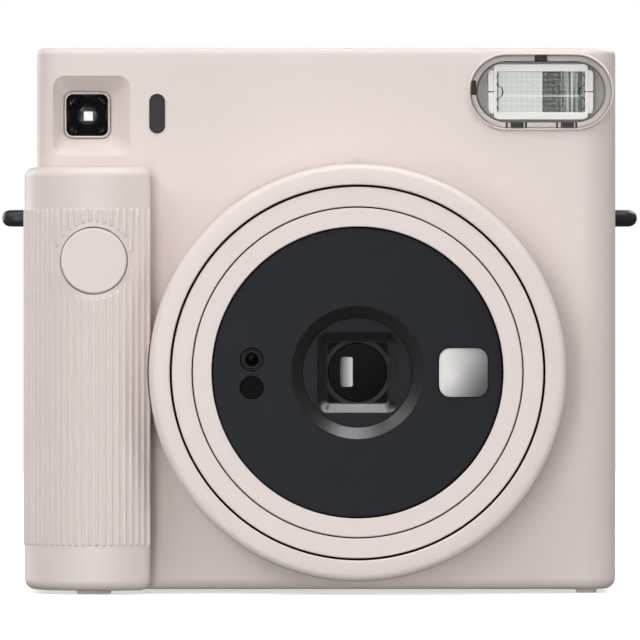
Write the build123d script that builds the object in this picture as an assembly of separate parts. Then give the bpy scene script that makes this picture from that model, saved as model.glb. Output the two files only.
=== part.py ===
"""Instant film camera for square prints: a moulded two-part shell with a ribbed hand grip, a telescoping lens
barrel turned out by a control ring, a flash, a viewfinder, a film door and a motor that feeds the print out.

Units are millimetres. +Z is up, the lens looks along -Y, and +X is to the right as seen from the front. The
origin is on the surface that the camera stands on, under the middle of its bounding box.
"""

from build123d import *
import math
import os

# Shell
BODY_LEFT, BODY_RIGHT = -61.9, 64.9
BODY_FRONT, BODY_REAR = -13.5, 27.5
BASE, TOP = 0.9, 119.3
WALL = 2.0
SEAM = 2.0  # the y of the plane where the front and rear covers meet
SEAM_GAP = 0.12
GRIP_GAP = 0.02  # the grip cover fits the front cover closely
FRONT_RIGHT_ROUND, FRONT_LEFT_ROUND, REAR_ROUND = 8.0, 5.0, 5.0
TOP_ROUND, BASE_ROUND = 1.5, 2.4

# Grip: its front is one arc about (GRIP_X, GRIP_FRONT + GRIP_R)
GRIP_X, GRIP_FRONT, GRIP_R = -48.2, -25.0, 16.4
GRIP_RIGHT, GRIP_TOP = -36.9, 93.2
GRIP_CORNER = 2.6
GRIP_EDGE = 2.2
RIB_R, RIB_PROUD, RIB_PITCH = 0.5, 0.28, 1.53
RIB_LOW, RIB_HIGH = 10.5, 84.1

# Lens
LENS_X, LENS_Z = 8.25, 48.4
RING_R, RING_FRONT = 45.35, -28.75
RING_BORE = 40.8
OUTER_BARREL_R, INNER_BARREL_R = 40.3, 35.75
BARREL_FRONT, BARREL_REAR = -28.3, -10.6
STAGE_TRAVEL = 12.0
PANEL_R, PANEL_FRONT, PANEL_REAR = 31.5, -27.7, -26.2
BEZEL_R, BEZEL_FRONT = 11.9, -25.6
CONE_R = 14.45
FUNNEL, LENS_WINDOW = 17.5, 13.0
MIRROR_X, MIRROR_SIZE, MIRROR_ROUND = 31.2, 10.7, 2.5
SENSOR_X, SENSOR_R = -14.7, 2.6
SENSOR_ZS = (51.2, 45.1)

# Shutter button, viewfinder, meter window and flash
BUTTON_X, BUTTON_Z, BUTTON_R = -49.1, 72.7, 7.2
BUTTON_GAP, BUTTON_TRAVEL = 0.18, 1.2
FINDER_X, FINDER_Z, FINDER_SIZE = -50.9, 104.7, 9.3
# Notches in the ledge behind the flash window, for its snap legs: (x, z, width, height)
FLASH_NOTCHES = (
    (48.4, 117.0, 2.8, 1.5), (33.7, 110.6, 1.1, 3.2),
    (43.2, 102.4, 2.9, 1.4), (40.95, 102.4, 0.45, 1.4), (45.15, 102.4, 0.45, 1.4),
    (54.2, 102.4, 2.9, 1.4), (51.95, 102.4, 0.45, 1.4), (56.15, 102.4, 0.45, 1.4),
)
LENS_WEB = 0.9  # glass left at the middle of the hollow front lens
METER_X, METER_Z, METER_W, METER_H = -35.5, 104.9, 3.4, 8.65
FLASH_X, FLASH_Z, FLASH_W, FLASH_H = 48.4, 109.7, 31.0, 16.0
FLASH_FACE = -14.4
FLASH_MOUTH, TUBE_Y = -12.55, -6.9
REFLECTOR_W, REFLECTOR_H = 18.4, 9.0

# Film path
PACK_W, PACK_LOW, PACK_HIGH = 78.0, 7.4, 100.9
PACK_FRONT, PACK_REAR = 12.9, 24.3
CHAMBER_WALL, CHAMBER_CLEAR = 1.6, 0.4
CHAMBER_FRONT, CHAMBER_REAR = 11.2, 24.9
IMAGE = 62.0
FILM_Y = 14.1
ROLLER_Z, ROLLER_R = 106.8, 3.85
MODULE, PRESSURE_ANGLE, BACKLASH = 0.5, math.radians(20), 0.1
ROLLER_TEETH = 16
ROLLER_GAP_HALF = ROLLER_TEETH * MODULE / 2  # half the distance between the roller axes

# Film door
DOOR_LEFT, DOOR_RIGHT, DOOR_LOW, DOOR_HIGH = -34.5, 57.5, 5.0, 112.0
DOOR_INNER, DOOR_OUTER, DOOR_ROUND, DOOR_GAP = 25.75, 28.75, 6.0, 0.4
HINGE_X, HINGE_Y, HINGE_PIN_R, KNUCKLE_R = -36.4, 26.6, 0.6, 1.6
KNUCKLES = ((12.0, 24.0), (93.0, 105.0))

# Batteries and battery door
CELL_R, CELL_LENGTH = 7.8, 27.0
CELL_X, CELL_Y = -54.0, 12.8
CELL_LOWS = (10.0, 38.0)
HATCH_FRONT, HATCH_LOW, HATCH_HIGH = 4.2, 7.0, 68.0

SIDE_LEFT = GRIP_X - GRIP_R
CHAMBER_HALF = PACK_W / 2 + CHAMBER_CLEAR
CHAMBER_LEFT, CHAMBER_RIGHT = LENS_X - CHAMBER_HALF, LENS_X + CHAMBER_HALF
CHAMBER_LOW, CHAMBER_HIGH = PACK_LOW - CHAMBER_CLEAR, PACK_HIGH + CHAMBER_CLEAR


# ---------------------------------------------------------------- helpers


def block(x0, x1, y0, y1, z0, z1):
    """A box between two corners."""
    return Pos((x0 + x1) / 2, (y0 + y1) / 2, (z0 + z1) / 2) * Box(x1 - x0, y1 - y0, z1 - z0)


def rod_x(radius, x0, x1, y, z):
    """A cylinder along X."""
    return Pos((x0 + x1) / 2, y, z) * Rot(0, 90, 0) * Cylinder(radius, x1 - x0)


def rod_y(radius, y0, y1, x=LENS_X, z=LENS_Z):
    """A cylinder along Y, on the lens axis unless x and z are given."""
    return Pos(x, (y0 + y1) / 2, z) * Rot(90, 0, 0) * Cylinder(radius, y1 - y0)


def rod_z(radius, z0, z1, x, y):
    """A cylinder along Z."""
    return Pos(x, y, (z0 + z1) / 2) * Cylinder(radius, z1 - z0)


def facing(y, x=LENS_X, z=LENS_Z):
    """A plane that faces the front, with its own x to the right and its y up."""
    return Plane(origin=(x, y, z), x_dir=(1, 0, 0), z_dir=(0, -1, 0))


def prism_y(sketch, y0, y1, x=LENS_X, z=LENS_Z):
    """A sketch drawn as seen from the front, extruded from y0 back to y1."""
    return extrude(facing(y1, x, z) * sketch, y1 - y0)


def funnel_y(front, rear, y0, y1, x=LENS_X, z=LENS_Z):
    """A solid that blends from one sketch at y0 to another at y1."""
    return loft([facing(y0, x, z) * front, facing(y1, x, z) * rear])


def turned(points, rounds=()):
    """A solid turned about the lens axis. Points are (radius, y); rounds are ((radius, y), fillet)."""
    face = make_face(Polyline(*points, close=True))
    for (radius, y), amount in rounds:
        corner = face.vertices().sort_by_distance((radius, y, 0))[0]
        face = fillet(corner, amount)
    return Pos(LENS_X, 0, LENS_Z) * revolve(face, Axis.Y)


def rim(solid, axis, last=True):
    """The edges round the highest or lowest flat face along an axis."""
    return solid.faces().sort_by(axis)[-1 if last else 0].edges()


def involute(angle):
    return math.tan(angle) - angle


def tooth_flank(teeth):
    """(radius, half angle) down one involute flank of a gear's tooth, from its root to its tip."""
    pitch_r = teeth * MODULE / 2
    base_r = pitch_r * math.cos(PRESSURE_ANGLE)
    at_pitch = (math.pi * MODULE / 2 - BACKLASH) / (2 * pitch_r) + involute(PRESSURE_ANGLE)
    flank = []
    for radius in (pitch_r - 1.25 * MODULE, base_r, pitch_r, pitch_r + 0.8 * MODULE):
        lean = math.acos(min(1.0, base_r / radius))
        flank.append((radius, at_pitch - involute(lean)))
    return flank


def gear(teeth, x0, x1, y, z, tooth_at, bore):
    """A spur gear along X with one tooth centred on the angle tooth_at, in degrees from +Y towards +Z."""
    flank = tooth_flank(teeth)
    points = []
    for k in range(teeth):
        middle = math.radians(tooth_at) + 2 * math.pi * k / teeth
        outline = [(radius, middle - half) for radius, half in flank]
        outline += [(radius, middle + half) for radius, half in reversed(flank)]
        points += [(radius * math.cos(angle), radius * math.sin(angle)) for radius, angle in outline]
    plane = Plane(origin=(x0, y, z), x_dir=(0, 1, 0), z_dir=(1, 0, 0))
    blank = extrude(plane * make_face(Polyline(*points, close=True)), x1 - x0)
    return blank - rod_x(bore, x0 - 1, x1 + 1, y, z)


def coil_spring(radius, wire_r, height, turns):
    """An open coil spring along Z, standing on its own XY plane."""
    path = Helix(height / turns, height, radius)
    section = Plane(origin=path @ 0, z_dir=path % 0) * Circle(wire_r)
    return sweep(section, path=path, is_frenet=True)


# ---------------------------------------------------------------- shell


def body_plan(inset=0.0):
    """The body's outline from above, with its four corner radii."""
    x0, x1 = BODY_LEFT + inset, BODY_RIGHT - inset
    y0, y1 = BODY_FRONT + inset, BODY_REAR - inset
    plan = make_face(Polyline((x0, y0), (x1, y0), (x1, y1), (x0, y1), close=True))
    for corner, radius in (
        ((x0, y0), FRONT_LEFT_ROUND), ((x1, y0), FRONT_RIGHT_ROUND),
        ((x1, y1), REAR_ROUND), ((x0, y1), REAR_ROUND),
    ):
        plan = fillet(plan.vertices().sort_by_distance((*corner, 0))[0], radius - inset)
    return plan


def grip_plan(inset=0.0):
    """The grip's outline from above: a round front, a straight left side and an edge inside the body."""
    radius = GRIP_R - inset
    right, rear = GRIP_RIGHT - inset, BODY_REAR - inset
    centre_y = GRIP_FRONT + GRIP_R
    arc_y = centre_y - math.sqrt(radius**2 - (right - GRIP_X) ** 2)
    crest, left = (GRIP_X, centre_y - radius), (GRIP_X - radius, centre_y)
    lines = (
        RadiusArc((right, arc_y), crest, radius),
        RadiusArc(crest, left, radius),
        Polyline(left, (left[0], rear), (right, rear), (right, arc_y)),
    )
    plan = make_face(Curve() + lines)
    for corner, amount in (((right, arc_y), GRIP_CORNER), ((left[0], rear), REAR_ROUND)):
        plan = fillet(plan.vertices().sort_by_distance((*corner, 0))[0], amount - inset)
    return plan


def raised(plan, low, high):
    """A plan extruded between two heights."""
    return extrude(Pos(0, 0, low) * plan, high - low)


def body_outside():
    solid = raised(body_plan(), BASE, TOP)
    solid = fillet(rim(solid, Axis.Z), TOP_ROUND)
    return fillet(rim(solid, Axis.Z, last=False), BASE_ROUND)


def grip_outside():
    solid = raised(grip_plan(), BASE, GRIP_TOP)
    solid = fillet(rim(solid, Axis.Z), GRIP_EDGE)
    return fillet(rim(solid, Axis.Z, last=False), GRIP_EDGE)


def shell_inside():
    """The hollow that the covers enclose."""
    return raised(body_plan(WALL), BASE + WALL, TOP - WALL) + raised(
        grip_plan(WALL), BASE + WALL, GRIP_TOP - WALL
    )


FRONT_HALF = block(-90, 90, -60, SEAM - SEAM_GAP / 2, -5, 140)
REAR_HALF = block(-90, 90, SEAM + SEAM_GAP / 2, 60, -5, 140)
BODY_OUTSIDE, GRIP_OUTSIDE, HOLLOW = body_outside(), grip_outside(), shell_inside()

# Places of the screws that hold the covers together: (x, y, z, axis). Each goes into a tab of the front cover.
SCREW_Y = 6.0
BASE_SCREW_XS = (-20.0, 36.0)
SIDE_SCREW_ZS = (30.0, 90.0)
SCREW_HEAD_R, SCREW_SHANK_R, SCREW_LENGTH, SCREW_SUNK = 1.9, 0.85, 4.6, 0.2
TAB_THICK, TAB_HALF = 1.9, 3.5


def screw_places():
    """(plane at the outer wall with z_dir into the body) for each case screw."""
    places = [Plane(origin=(x, SCREW_Y, BASE), z_dir=(0, 0, 1)) for x in BASE_SCREW_XS]
    places += [Plane(origin=(BODY_RIGHT, SCREW_Y, z), z_dir=(-1, 0, 0)) for z in SIDE_SCREW_ZS]
    return places


def case_screws():
    """Pan-head screws with a cross slot, each sunk in the rear cover."""
    solids = []
    for place in screw_places():
        head = Pos(0, 0, SCREW_SUNK + 0.5) * Cylinder(SCREW_HEAD_R, 1.0)
        shank = Pos(0, 0, SCREW_SUNK + 1.0 + SCREW_LENGTH / 2) * Cylinder(SCREW_SHANK_R, SCREW_LENGTH)
        cross = Box(2.4, 0.5, 1.1) + Box(0.5, 2.4, 1.1)
        solids.append(place * (head + shank - Pos(0, 0, SCREW_SUNK) * cross))
    return Compound(solids)


def screw_tabs():
    """The front cover's tabs, each reaching behind the rear cover's wall and bored for a screw."""
    inside = WALL + 0.1
    reach = SCREW_Y + TAB_HALF
    tabs = []
    for x in BASE_SCREW_XS:
        z0 = BASE + inside
        tab = block(x - TAB_HALF, x + TAB_HALF, -3, reach, z0, z0 + TAB_THICK)
        tabs.append(tab + block(x - TAB_HALF, x + TAB_HALF, -3, SEAM - 1, z0 - 0.2, z0))
    for z in SIDE_SCREW_ZS:
        x1 = BODY_RIGHT - inside
        tab = block(x1 - TAB_THICK, x1, -2, reach, z - TAB_HALF, z + TAB_HALF)
        tabs.append(tab + block(x1, x1 + 0.2, -2, SEAM - 1, z - TAB_HALF, z + TAB_HALF))
    bores = [place * Pos(0, 0, 4) * Cylinder(SCREW_SHANK_R, 12) for place in screw_places()]
    return [tab - bore for tab, bore in zip(tabs, bores)]


def grip_corner(gap=0.0):
    """The front cover's wall behind the grip's rounded top right corner."""
    reach = GRIP_EDGE + 0.8 + gap
    return block(GRIP_RIGHT - reach, 90, BODY_FRONT - gap, BODY_FRONT + WALL + gap, GRIP_TOP - reach, 140)


def grip_foot_corner(gap=0.0):
    """The front cover's wall behind the grip's rounded bottom right corner."""
    reach = GRIP_EDGE + 0.8 + gap
    return block(GRIP_RIGHT - reach, 90, BODY_FRONT - gap, BODY_FRONT + WALL + gap, -5, BASE + reach)


def front_cover():
    """The front half of the shell, with the viewfinder's recess, the flash's rim and the ring's index mark."""
    flash_rim = prism_y(SlotOverall(FLASH_W + 1.0, FLASH_H + 1.0), FLASH_FACE, -4, FLASH_X, FLASH_Z)
    flash_rim = fillet(rim(flash_rim, Axis.Y, last=False), 0.4)
    solid = (BODY_OUTSIDE + flash_rim - HOLLOW) & FRONT_HALF
    solid -= raised(grip_plan(-GRIP_GAP), -5, GRIP_TOP + GRIP_GAP) - grip_corner() - grip_foot_corner()

    recess_x, recess_z, recess_w, recess_h, depth = -49.9, 104.5, 17.0, 17.4, 5.0
    shift_x, shift_z = FINDER_X - recess_x, FINDER_Z - recess_z
    mouth = RectangleRounded(recess_w, recess_h, 2.6)
    throat = Pos(shift_x, shift_z) * RectangleRounded(FINDER_SIZE + 0.3, FINDER_SIZE + 0.3, 1.7)
    backing = block(
        recess_x - recess_w / 2 - 1, recess_x + recess_w / 2 + 1, BODY_FRONT + 1, BODY_FRONT + depth + 1,
        recess_z - recess_h / 2 - 1, recess_z + recess_h / 2 + 1,
    )
    solid += backing
    solid -= funnel_y(mouth, throat, BODY_FRONT, BODY_FRONT + depth, recess_x, recess_z)
    solid -= prism_y(throat, BODY_FRONT + depth - 0.01, BODY_FRONT + depth + 2, recess_x, recess_z)
    solid -= prism_y(SlotOverall(METER_H + 0.2, METER_W + 0.2, rotation=90), -20, 0, METER_X, METER_Z)

    window = SlotOverall(FLASH_W + 0.16, FLASH_H + 0.16)
    solid -= prism_y(window, -20, FLASH_FACE + 1.6, FLASH_X, FLASH_Z)
    solid -= prism_y(SlotOverall(FLASH_W - 2.6, FLASH_H - 2.6), -20, 0, FLASH_X, FLASH_Z)
    for x, z, width, height in FLASH_NOTCHES:
        solid -= block(x - width / 2, x + width / 2, -13, -11.6, z - height / 2, z + height / 2)
    solid -= rod_y(43.25, -20, 0)
    index_mark = Pos(LENS_X, BODY_FRONT + 1.6, LENS_Z + RING_R + 1.5) * Sphere(1.85)
    solid += index_mark & block(0, 20, -20, BODY_FRONT + 0.5, 85, 105)
    for tab in screw_tabs():
        solid += tab
    return solid


def ribs():
    """The grip's upright ribs, evenly spaced round its arc and on along its side, stopping short of the button."""
    clear_r = BUTTON_R + 1.1
    sunk = GRIP_R + RIB_PROUD - RIB_R
    start = math.asin((GRIP_X - BUTTON_X) / GRIP_R)
    step = RIB_PITCH / GRIP_R
    centre_y = GRIP_FRONT + GRIP_R
    places = []
    for k in range(-9, 17):
        angle = start + (k + 0.5) * step
        if angle < math.radians(89):
            places.append((GRIP_X - sunk * math.sin(angle), centre_y - sunk * math.cos(angle)))
    places += [(GRIP_X - sunk, centre_y + 0.4 + RIB_PITCH * k) for k in range(0, 6)]
    solids = []
    for x, y in places:
        spans = [(RIB_LOW, RIB_HIGH)]
        off = abs(x - BUTTON_X)
        if off < clear_r:
            cut = math.sqrt(clear_r**2 - off**2)
            spans = [(RIB_LOW, BUTTON_Z - cut), (BUTTON_Z + cut, RIB_HIGH)]
        for low, high in spans:
            rib = rod_z(RIB_R, low + RIB_R, high - RIB_R, x, y)
            ends = [Pos(x, y, z) * Sphere(RIB_R) for z in (low + RIB_R, high - RIB_R)]
            solids.append(rib + ends)
    return solids


def grip_cover():
    """The grip's front and side wall, ribbed outside, with the shutter button's hole and a relief for the ring."""
    solid = (GRIP_OUTSIDE - HOLLOW) & FRONT_HALF
    inner_wall = block(GRIP_RIGHT - WALL - 0.5, GRIP_RIGHT + 1, BODY_FRONT + WALL, 60, BASE + WALL, GRIP_TOP - WALL)
    solid = solid - inner_wall + ribs() - rod_y(RING_R + 0.35, -40, BODY_FRONT)
    solid = solid - grip_corner(GRIP_GAP) - grip_foot_corner(GRIP_GAP)
    return solid - rod_y(BUTTON_R + BUTTON_GAP, -40, -12, BUTTON_X, BUTTON_Z)


def door_outline(grow=0.0):
    width, height = DOOR_RIGHT - DOOR_LEFT + 2 * grow, DOOR_HIGH - DOOR_LOW + 2 * grow
    return RectangleRounded(width, height, DOOR_ROUND + grow)


DOOR_X, DOOR_Z = (DOOR_LEFT + DOOR_RIGHT) / 2, (DOOR_LOW + DOOR_HIGH) / 2
EYE_SIZE, EYE_BEZEL = 8.0, 14.0
LAMP_X, LAMP_R = -41.7, 1.3
COUNTER_X, COUNTER_Z, COUNTER_R, COUNTER_WINDOW = -48.6, 26.0, 8.6, 5.2
COUNTER_WINDOW_Z = COUNTER_Z + 6.0
LUG_Y, LUG_Z, LUG_THICK, LUG_REACH = 11.5, 82.3, 3.6, 70.15
SLOT_W, SLOT_H = 75.0, 5.0
SLOT_Y = FILM_Y
SLOT_OUT_W, SLOT_OUT_H = 79.0, 8.4
HATCH_KNUCKLE_R, HATCH_PIN_R = 1.1, 0.6
HATCH_HINGE = (SIDE_LEFT + HATCH_KNUCKLE_R, 22.3)


def rear_cover():
    """The rear half of the shell, with the film door's opening and the holes for what shows at the back."""
    outside = BODY_OUTSIDE + GRIP_OUTSIDE
    solid = (outside - HOLLOW) & REAR_HALF
    hinge_block = block(HINGE_X - 3.2, DOOR_LEFT - DOOR_GAP, 23.4, BODY_REAR - 0.5, 8, 109)
    solid += hinge_block
    solid -= prism_y(door_outline(DOOR_GAP), 22, 40, DOOR_X, DOOR_Z)
    for low, high in KNUCKLES:
        solid -= block(HINGE_X - 2.4, DOOR_LEFT, 24.0, 40, low - 0.3, high + 0.3)
        solid -= rod_z(HINGE_PIN_R, low - 3.0, high + 3.0, HINGE_X, HINGE_Y)
    solid -= prism_y(RectangleRounded(EYE_BEZEL, EYE_BEZEL, 2.5), 20, 40, FINDER_X, FINDER_Z)
    solid -= rod_y(LAMP_R + 0.1, 20, 40, LAMP_X, FINDER_Z)
    window = RectangleRounded(COUNTER_WINDOW + 0.1, COUNTER_WINDOW + 0.1, 1.0)
    solid -= prism_y(window, 20, 40, COUNTER_X, COUNTER_WINDOW_Z)
    slot = RectangleRounded(SLOT_OUT_W + 0.2, SLOT_OUT_H + 0.2, 2.0)
    solid -= extrude(Plane(origin=(LENS_X, SLOT_Y, TOP - 6)) * slot, 12)
    solid -= hatch_outline(DOOR_GAP / 2)
    for side in (-1, 1):
        wall = BODY_RIGHT if side > 0 else SIDE_LEFT
        solid -= lug_foot(side, wall, 0.06)
    for place in screw_places():
        solid -= place * Pos(0, 0, (SCREW_SUNK + 1.05) / 2 - 0.5) * Cylinder(SCREW_HEAD_R + 0.15, SCREW_SUNK + 2.05)
        solid -= place * Pos(0, 0, 2) * Cylinder(SCREW_SHANK_R + 0.25, 8)
    tongue = block(DOOR_RIGHT - 1, DOOR_RIGHT + 2.2, DOOR_INNER - 0.3, 40, DOOR_Z - 4.5, DOOR_Z + 8.5)
    return solid - tongue


def hatch_outline(gap):
    """The space that the battery door needs in the left wall, with the rounds for its hinge and the hinge's pins."""
    x0, x1 = SIDE_LEFT - 3, SIDE_LEFT + WALL + 0.5
    leaf = block(x0, x1, HATCH_FRONT - gap, HATCH_HINGE[1], HATCH_LOW - gap, HATCH_HIGH + gap)
    scoop = rod_z(HATCH_KNUCKLE_R + 0.65, HATCH_LOW - gap, HATCH_HIGH + gap, *HATCH_HINGE)
    return leaf + scoop + rod_z(HATCH_PIN_R + 0.05, HATCH_LOW - 2.2, HATCH_HIGH + 2.2, *HATCH_HINGE)


def lug_foot(side, wall, grow=0.0):
    """The stepped foot that holds a strap lug in the side wall."""
    neck = block(*sorted((wall - side * 3.0, wall + side * 1.0)), LUG_Y - 5.5 - grow, LUG_Y + 5.5 + grow,
                 LUG_Z - 1.8 - grow, LUG_Z + 1.8 + grow)
    plate = block(*sorted((wall - side * 0.5, wall + side * 1.0)), LUG_Y - 7.0 - grow, LUG_Y + 7.0 + grow,
                  LUG_Z - 3.0 - grow, LUG_Z + 3.0 + grow)
    return neck + plate


def strap_lug(side):
    """A flat loop for the strap's cord, on a foot that is clamped in the side wall."""
    wall = BODY_RIGHT if side > 0 else SIDE_LEFT
    reach = LUG_REACH * side
    base = wall - side * 0.5
    length = abs(reach - base)
    loop = extrude(
        Plane(origin=((reach + base) / 2, LUG_Y, LUG_Z - LUG_THICK / 2)) * Rectangle(length, 11.0), LUG_THICK
    )
    outer = [e for e in loop.edges().filter_by(Axis.Z) if abs(e.center().X - reach) < 0.01]
    loop = fillet(outer, 3.2)
    round_edges = [e for e in loop.edges() if abs(e.center().Z - LUG_Z) > 1.7 and abs(e.center().X) > abs(base) + 0.6]
    loop = fillet(round_edges, 1.7)
    hole_x = wall + side * 1.65
    hole = extrude(
        Plane(origin=(hole_x, LUG_Y, LUG_Z - 5)) * RectangleRounded(3.0, 6.6, 1.2), 10
    )
    foot = lug_foot(side, wall) & block(
        *sorted((wall - side * 3.0, wall + side * 0.3)), LUG_Y - 9, LUG_Y + 9, LUG_Z - 6, LUG_Z + 6
    )
    return loop - hole + foot


def strap_lugs():
    return Compound([strap_lug(-1), strap_lug(1)])


def base_feet():
    """Four low pads under the shell."""
    places = ((-49.3, -14.0, 7.4), (-49.3, 17.0, 7.4), (58.6, -3.0, 4.4), (58.6, 17.0, 4.4))
    pads = []
    for x, y, width in places:
        pad = extrude(Pos(x, y, 0) * RectangleRounded(width, 5.0, 1.2), BASE)
        pads.append(chamfer(rim(pad, Axis.Z, last=False), 0.2))
    return Compound(pads)


# ---------------------------------------------------------------- lens


def control_ring():
    """The ring that the hand turns, with one, two and three dimples in its side for its three settings."""
    rear, lip = -13.9, -26.6
    ring = turned(
        [
            (RING_BORE, lip), (RING_BORE, RING_FRONT), (42.6, RING_FRONT), (RING_R, RING_FRONT + 0.35),
            (RING_R, rear), (43.3, rear), (43.3, lip),
        ],
        [((RING_R, RING_FRONT + 0.35), 1.7), ((RING_BORE, RING_FRONT), 0.25)],
    )
    for setting, count in enumerate((1, 2, 3)):
        for dot in range(count):
            angle = math.radians(90 + 37.5 * setting + 3.0 * (dot - (count - 1) / 2))
            x, z = LENS_X + (RING_R + 0.5) * math.cos(angle), LENS_Z + (RING_R + 0.5) * math.sin(angle)
            ring -= Pos(x, -18.5, z) * Sphere(0.9)
    return ring


def outer_barrel():
    """The first telescoping stage: it slides in the lens mount and carries the second stage."""
    r, bore, wall = OUTER_BARREL_R, INNER_BARREL_R + 0.3, 38.6
    return turned(
        [
            (bore, BARREL_FRONT), (r, BARREL_FRONT), (r, -12.2), (41.5, -12.2), (41.5, BARREL_REAR),
            (wall, BARREL_REAR), (wall, -26.3), (bore, -26.3),
        ],
        [((r, BARREL_FRONT), 0.25), ((bore, BARREL_FRONT), 0.2)],
    )


def inner_barrel():
    """The second stage, with the ledge that the lens panel sits on."""
    r, bore, wall, ledge = INNER_BARREL_R, PANEL_R + 0.2, 34.0, 30.0
    return turned(
        [
            (bore, BARREL_FRONT), (r, BARREL_FRONT), (r, -12.2), (38.4, -12.2), (38.4, BARREL_REAR),
            (wall, BARREL_REAR), (wall, -25.0), (ledge, -25.0), (ledge, PANEL_REAR), (bore, PANEL_REAR),
        ],
        [((r, BARREL_FRONT), 0.25), ((bore, BARREL_FRONT), 0.2)],
    )


def lens_mount():
    """The fixed tube that guides the barrels and that the control ring turns on."""
    return turned(
        [
            (40.4, -26.2), (43.0, -26.2), (43.0, -11.4), (45.2, -11.4), (45.2, -9.5), (41.7, -9.5),
            (41.7, -24.6), (40.4, -24.6),
        ]
    )


def dark_box():
    """The light-tight tunnel from the lens mount to the film."""
    plate = rod_y(43.0, -9.5, -8.0)
    tunnel = prism_y(Rectangle(66, 66), -8.0, CHAMBER_FRONT)
    return plate + tunnel - prism_y(Rectangle(63.4, 63.4), -8.0, 20) - prism_y(Rectangle(56, 56), -20, 0)


def lens_panel():
    """The dark disc round the lens, with a cone down to the bezel and openings for the mirror and two sensors."""
    disc = turned(
        [
            (BEZEL_R + 0.05, BEZEL_FRONT + 0.8), (BEZEL_R + 0.05, BEZEL_FRONT), (CONE_R, PANEL_FRONT),
            (PANEL_R, PANEL_FRONT), (PANEL_R, PANEL_REAR), (CONE_R + 1.2, PANEL_REAR), (CONE_R - 0.5, BEZEL_FRONT + 0.8),
        ],
        [((PANEL_R, PANEL_FRONT), 0.3)],
    )
    mirror_hole = RectangleRounded(MIRROR_SIZE + 0.3, MIRROR_SIZE + 0.3, MIRROR_ROUND + 0.1)
    disc -= prism_y(mirror_hole, -40, 0, MIRROR_X, LENS_Z)
    for z in SENSOR_ZS:
        disc -= rod_y(SENSOR_R, -40, 0, SENSOR_X, z)
    return disc


def lens_bezel():
    """The round bezel with a square hood that narrows towards the lens."""
    bezel = rod_y(BEZEL_R, BEZEL_FRONT, FRONT_CELL[0])
    bezel -= funnel_y(
        RectangleRounded(FUNNEL, FUNNEL, 2.2), RectangleRounded(LENS_WINDOW + 0.6, LENS_WINDOW + 0.6, 0.9),
        BEZEL_FRONT, BEZEL_FRONT + 1.35,
    )
    bezel -= prism_y(RectangleRounded(LENS_WINDOW, LENS_WINDOW, 0.6), -40, 0)
    return bezel


def lens_element(radius, y_edge_front, y_edge_rear, front_sag, rear_sag):
    """A lens on the axis. A sag above 0 bulges that face outwards, and one below 0 hollows it."""
    points = [(0, y_edge_front - front_sag), (radius, y_edge_front), (radius, y_edge_rear), (0, y_edge_rear + rear_sag)]
    front = _sag_arc(points[0], points[1], front_sag, -1)
    rear = _sag_arc(points[3], points[2], rear_sag, 1)
    profile = make_face(Curve() + [front, Line(points[1], points[2]), rear, Line(points[3], points[0])])
    return Pos(LENS_X, 0, LENS_Z) * revolve(profile, Axis.Y)


def _sag_arc(axis_point, edge_point, sag, outward):
    """A lens face's curve from the axis to its edge, square to the axis."""
    half = edge_point[0]
    radius = (half**2 + sag**2) / (2 * abs(sag))
    centre_y = axis_point[1] - outward * math.copysign(radius, sag)
    angle = math.asin(half / radius) / 2
    bulge = outward * math.copysign(radius, sag)
    middle = (radius * math.sin(angle), centre_y + bulge * math.cos(angle))
    return ThreePointArc(axis_point, middle, edge_point)


def taking_lens():
    """The two glass elements of the lens, one on each side of the shutter."""
    return Compound([lens_element(6.4, -23.9, -22.4, 1.3, -0.5), lens_element(5.4, -16.4, -15.0, -0.6, 0.9)])


FRONT_CELL = (-24.15, -20.6)
REAR_CELL = (-17.3, -12.6)


def lens_cell():
    """The two short tubes that hold the lenses, in front of and behind the shutter."""
    front = rod_y(9.4, *FRONT_CELL) - rod_y(6.45, -40, -22.3) - rod_y(5.6, -40, 0)
    rear = rod_y(8.4, *REAR_CELL) - rod_y(5.45, -16.6, 0) - rod_y(4.4, -40, 0)
    return Compound([front, rear])


def selfie_mirror():
    """A small convex mirror with rounded corners, standing in a hole of the lens panel."""
    mirror = prism_y(RectangleRounded(MIRROR_SIZE, MIRROR_SIZE, MIRROR_ROUND), -28.6, -26.3, MIRROR_X, LENS_Z)
    dome_r = 42.0
    dome = Pos(MIRROR_X, -27.75 + dome_r, LENS_Z) * Sphere(dome_r)
    backing = prism_y(RectangleRounded(13.4, 13.4, 3.0), -26.15, -25.3, MIRROR_X, LENS_Z)
    neck = prism_y(RectangleRounded(8.0, 8.0, 1.0), -26.4, -25.3, MIRROR_X, LENS_Z)
    return (mirror & dome) + neck + backing


def light_sensors():
    """The two light-sensor cells behind the lens panel's small holes: a lensed one above a plain one."""
    upper = rod_y(3.3, -26.15, -23.6, SENSOR_X, SENSOR_ZS[0])
    upper += rod_y(1.5, -26.9, -26.0, SENSOR_X, SENSOR_ZS[0])
    upper += Pos(SENSOR_X, -26.8, SENSOR_ZS[0]) * Sphere(1.2)
    lower = rod_y(2.55, -26.9, -23.6, SENSOR_X, SENSOR_ZS[1])
    board = block(SENSOR_X - 4.5, SENSOR_X + 4.5, -23.6, -22.6, SENSOR_ZS[1] - 5, SENSOR_ZS[0] + 5)
    cut = block(SENSOR_X - 5, SENSOR_X + 5, -27, -23.6, (SENSOR_ZS[0] + SENSOR_ZS[1]) / 2 - 0.1,
                (SENSOR_ZS[0] + SENSOR_ZS[1]) / 2 + 0.1)
    return upper + lower - cut + board


BLADE_PIVOT = 11.5
BLADE_LEAF = 6.4


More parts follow.
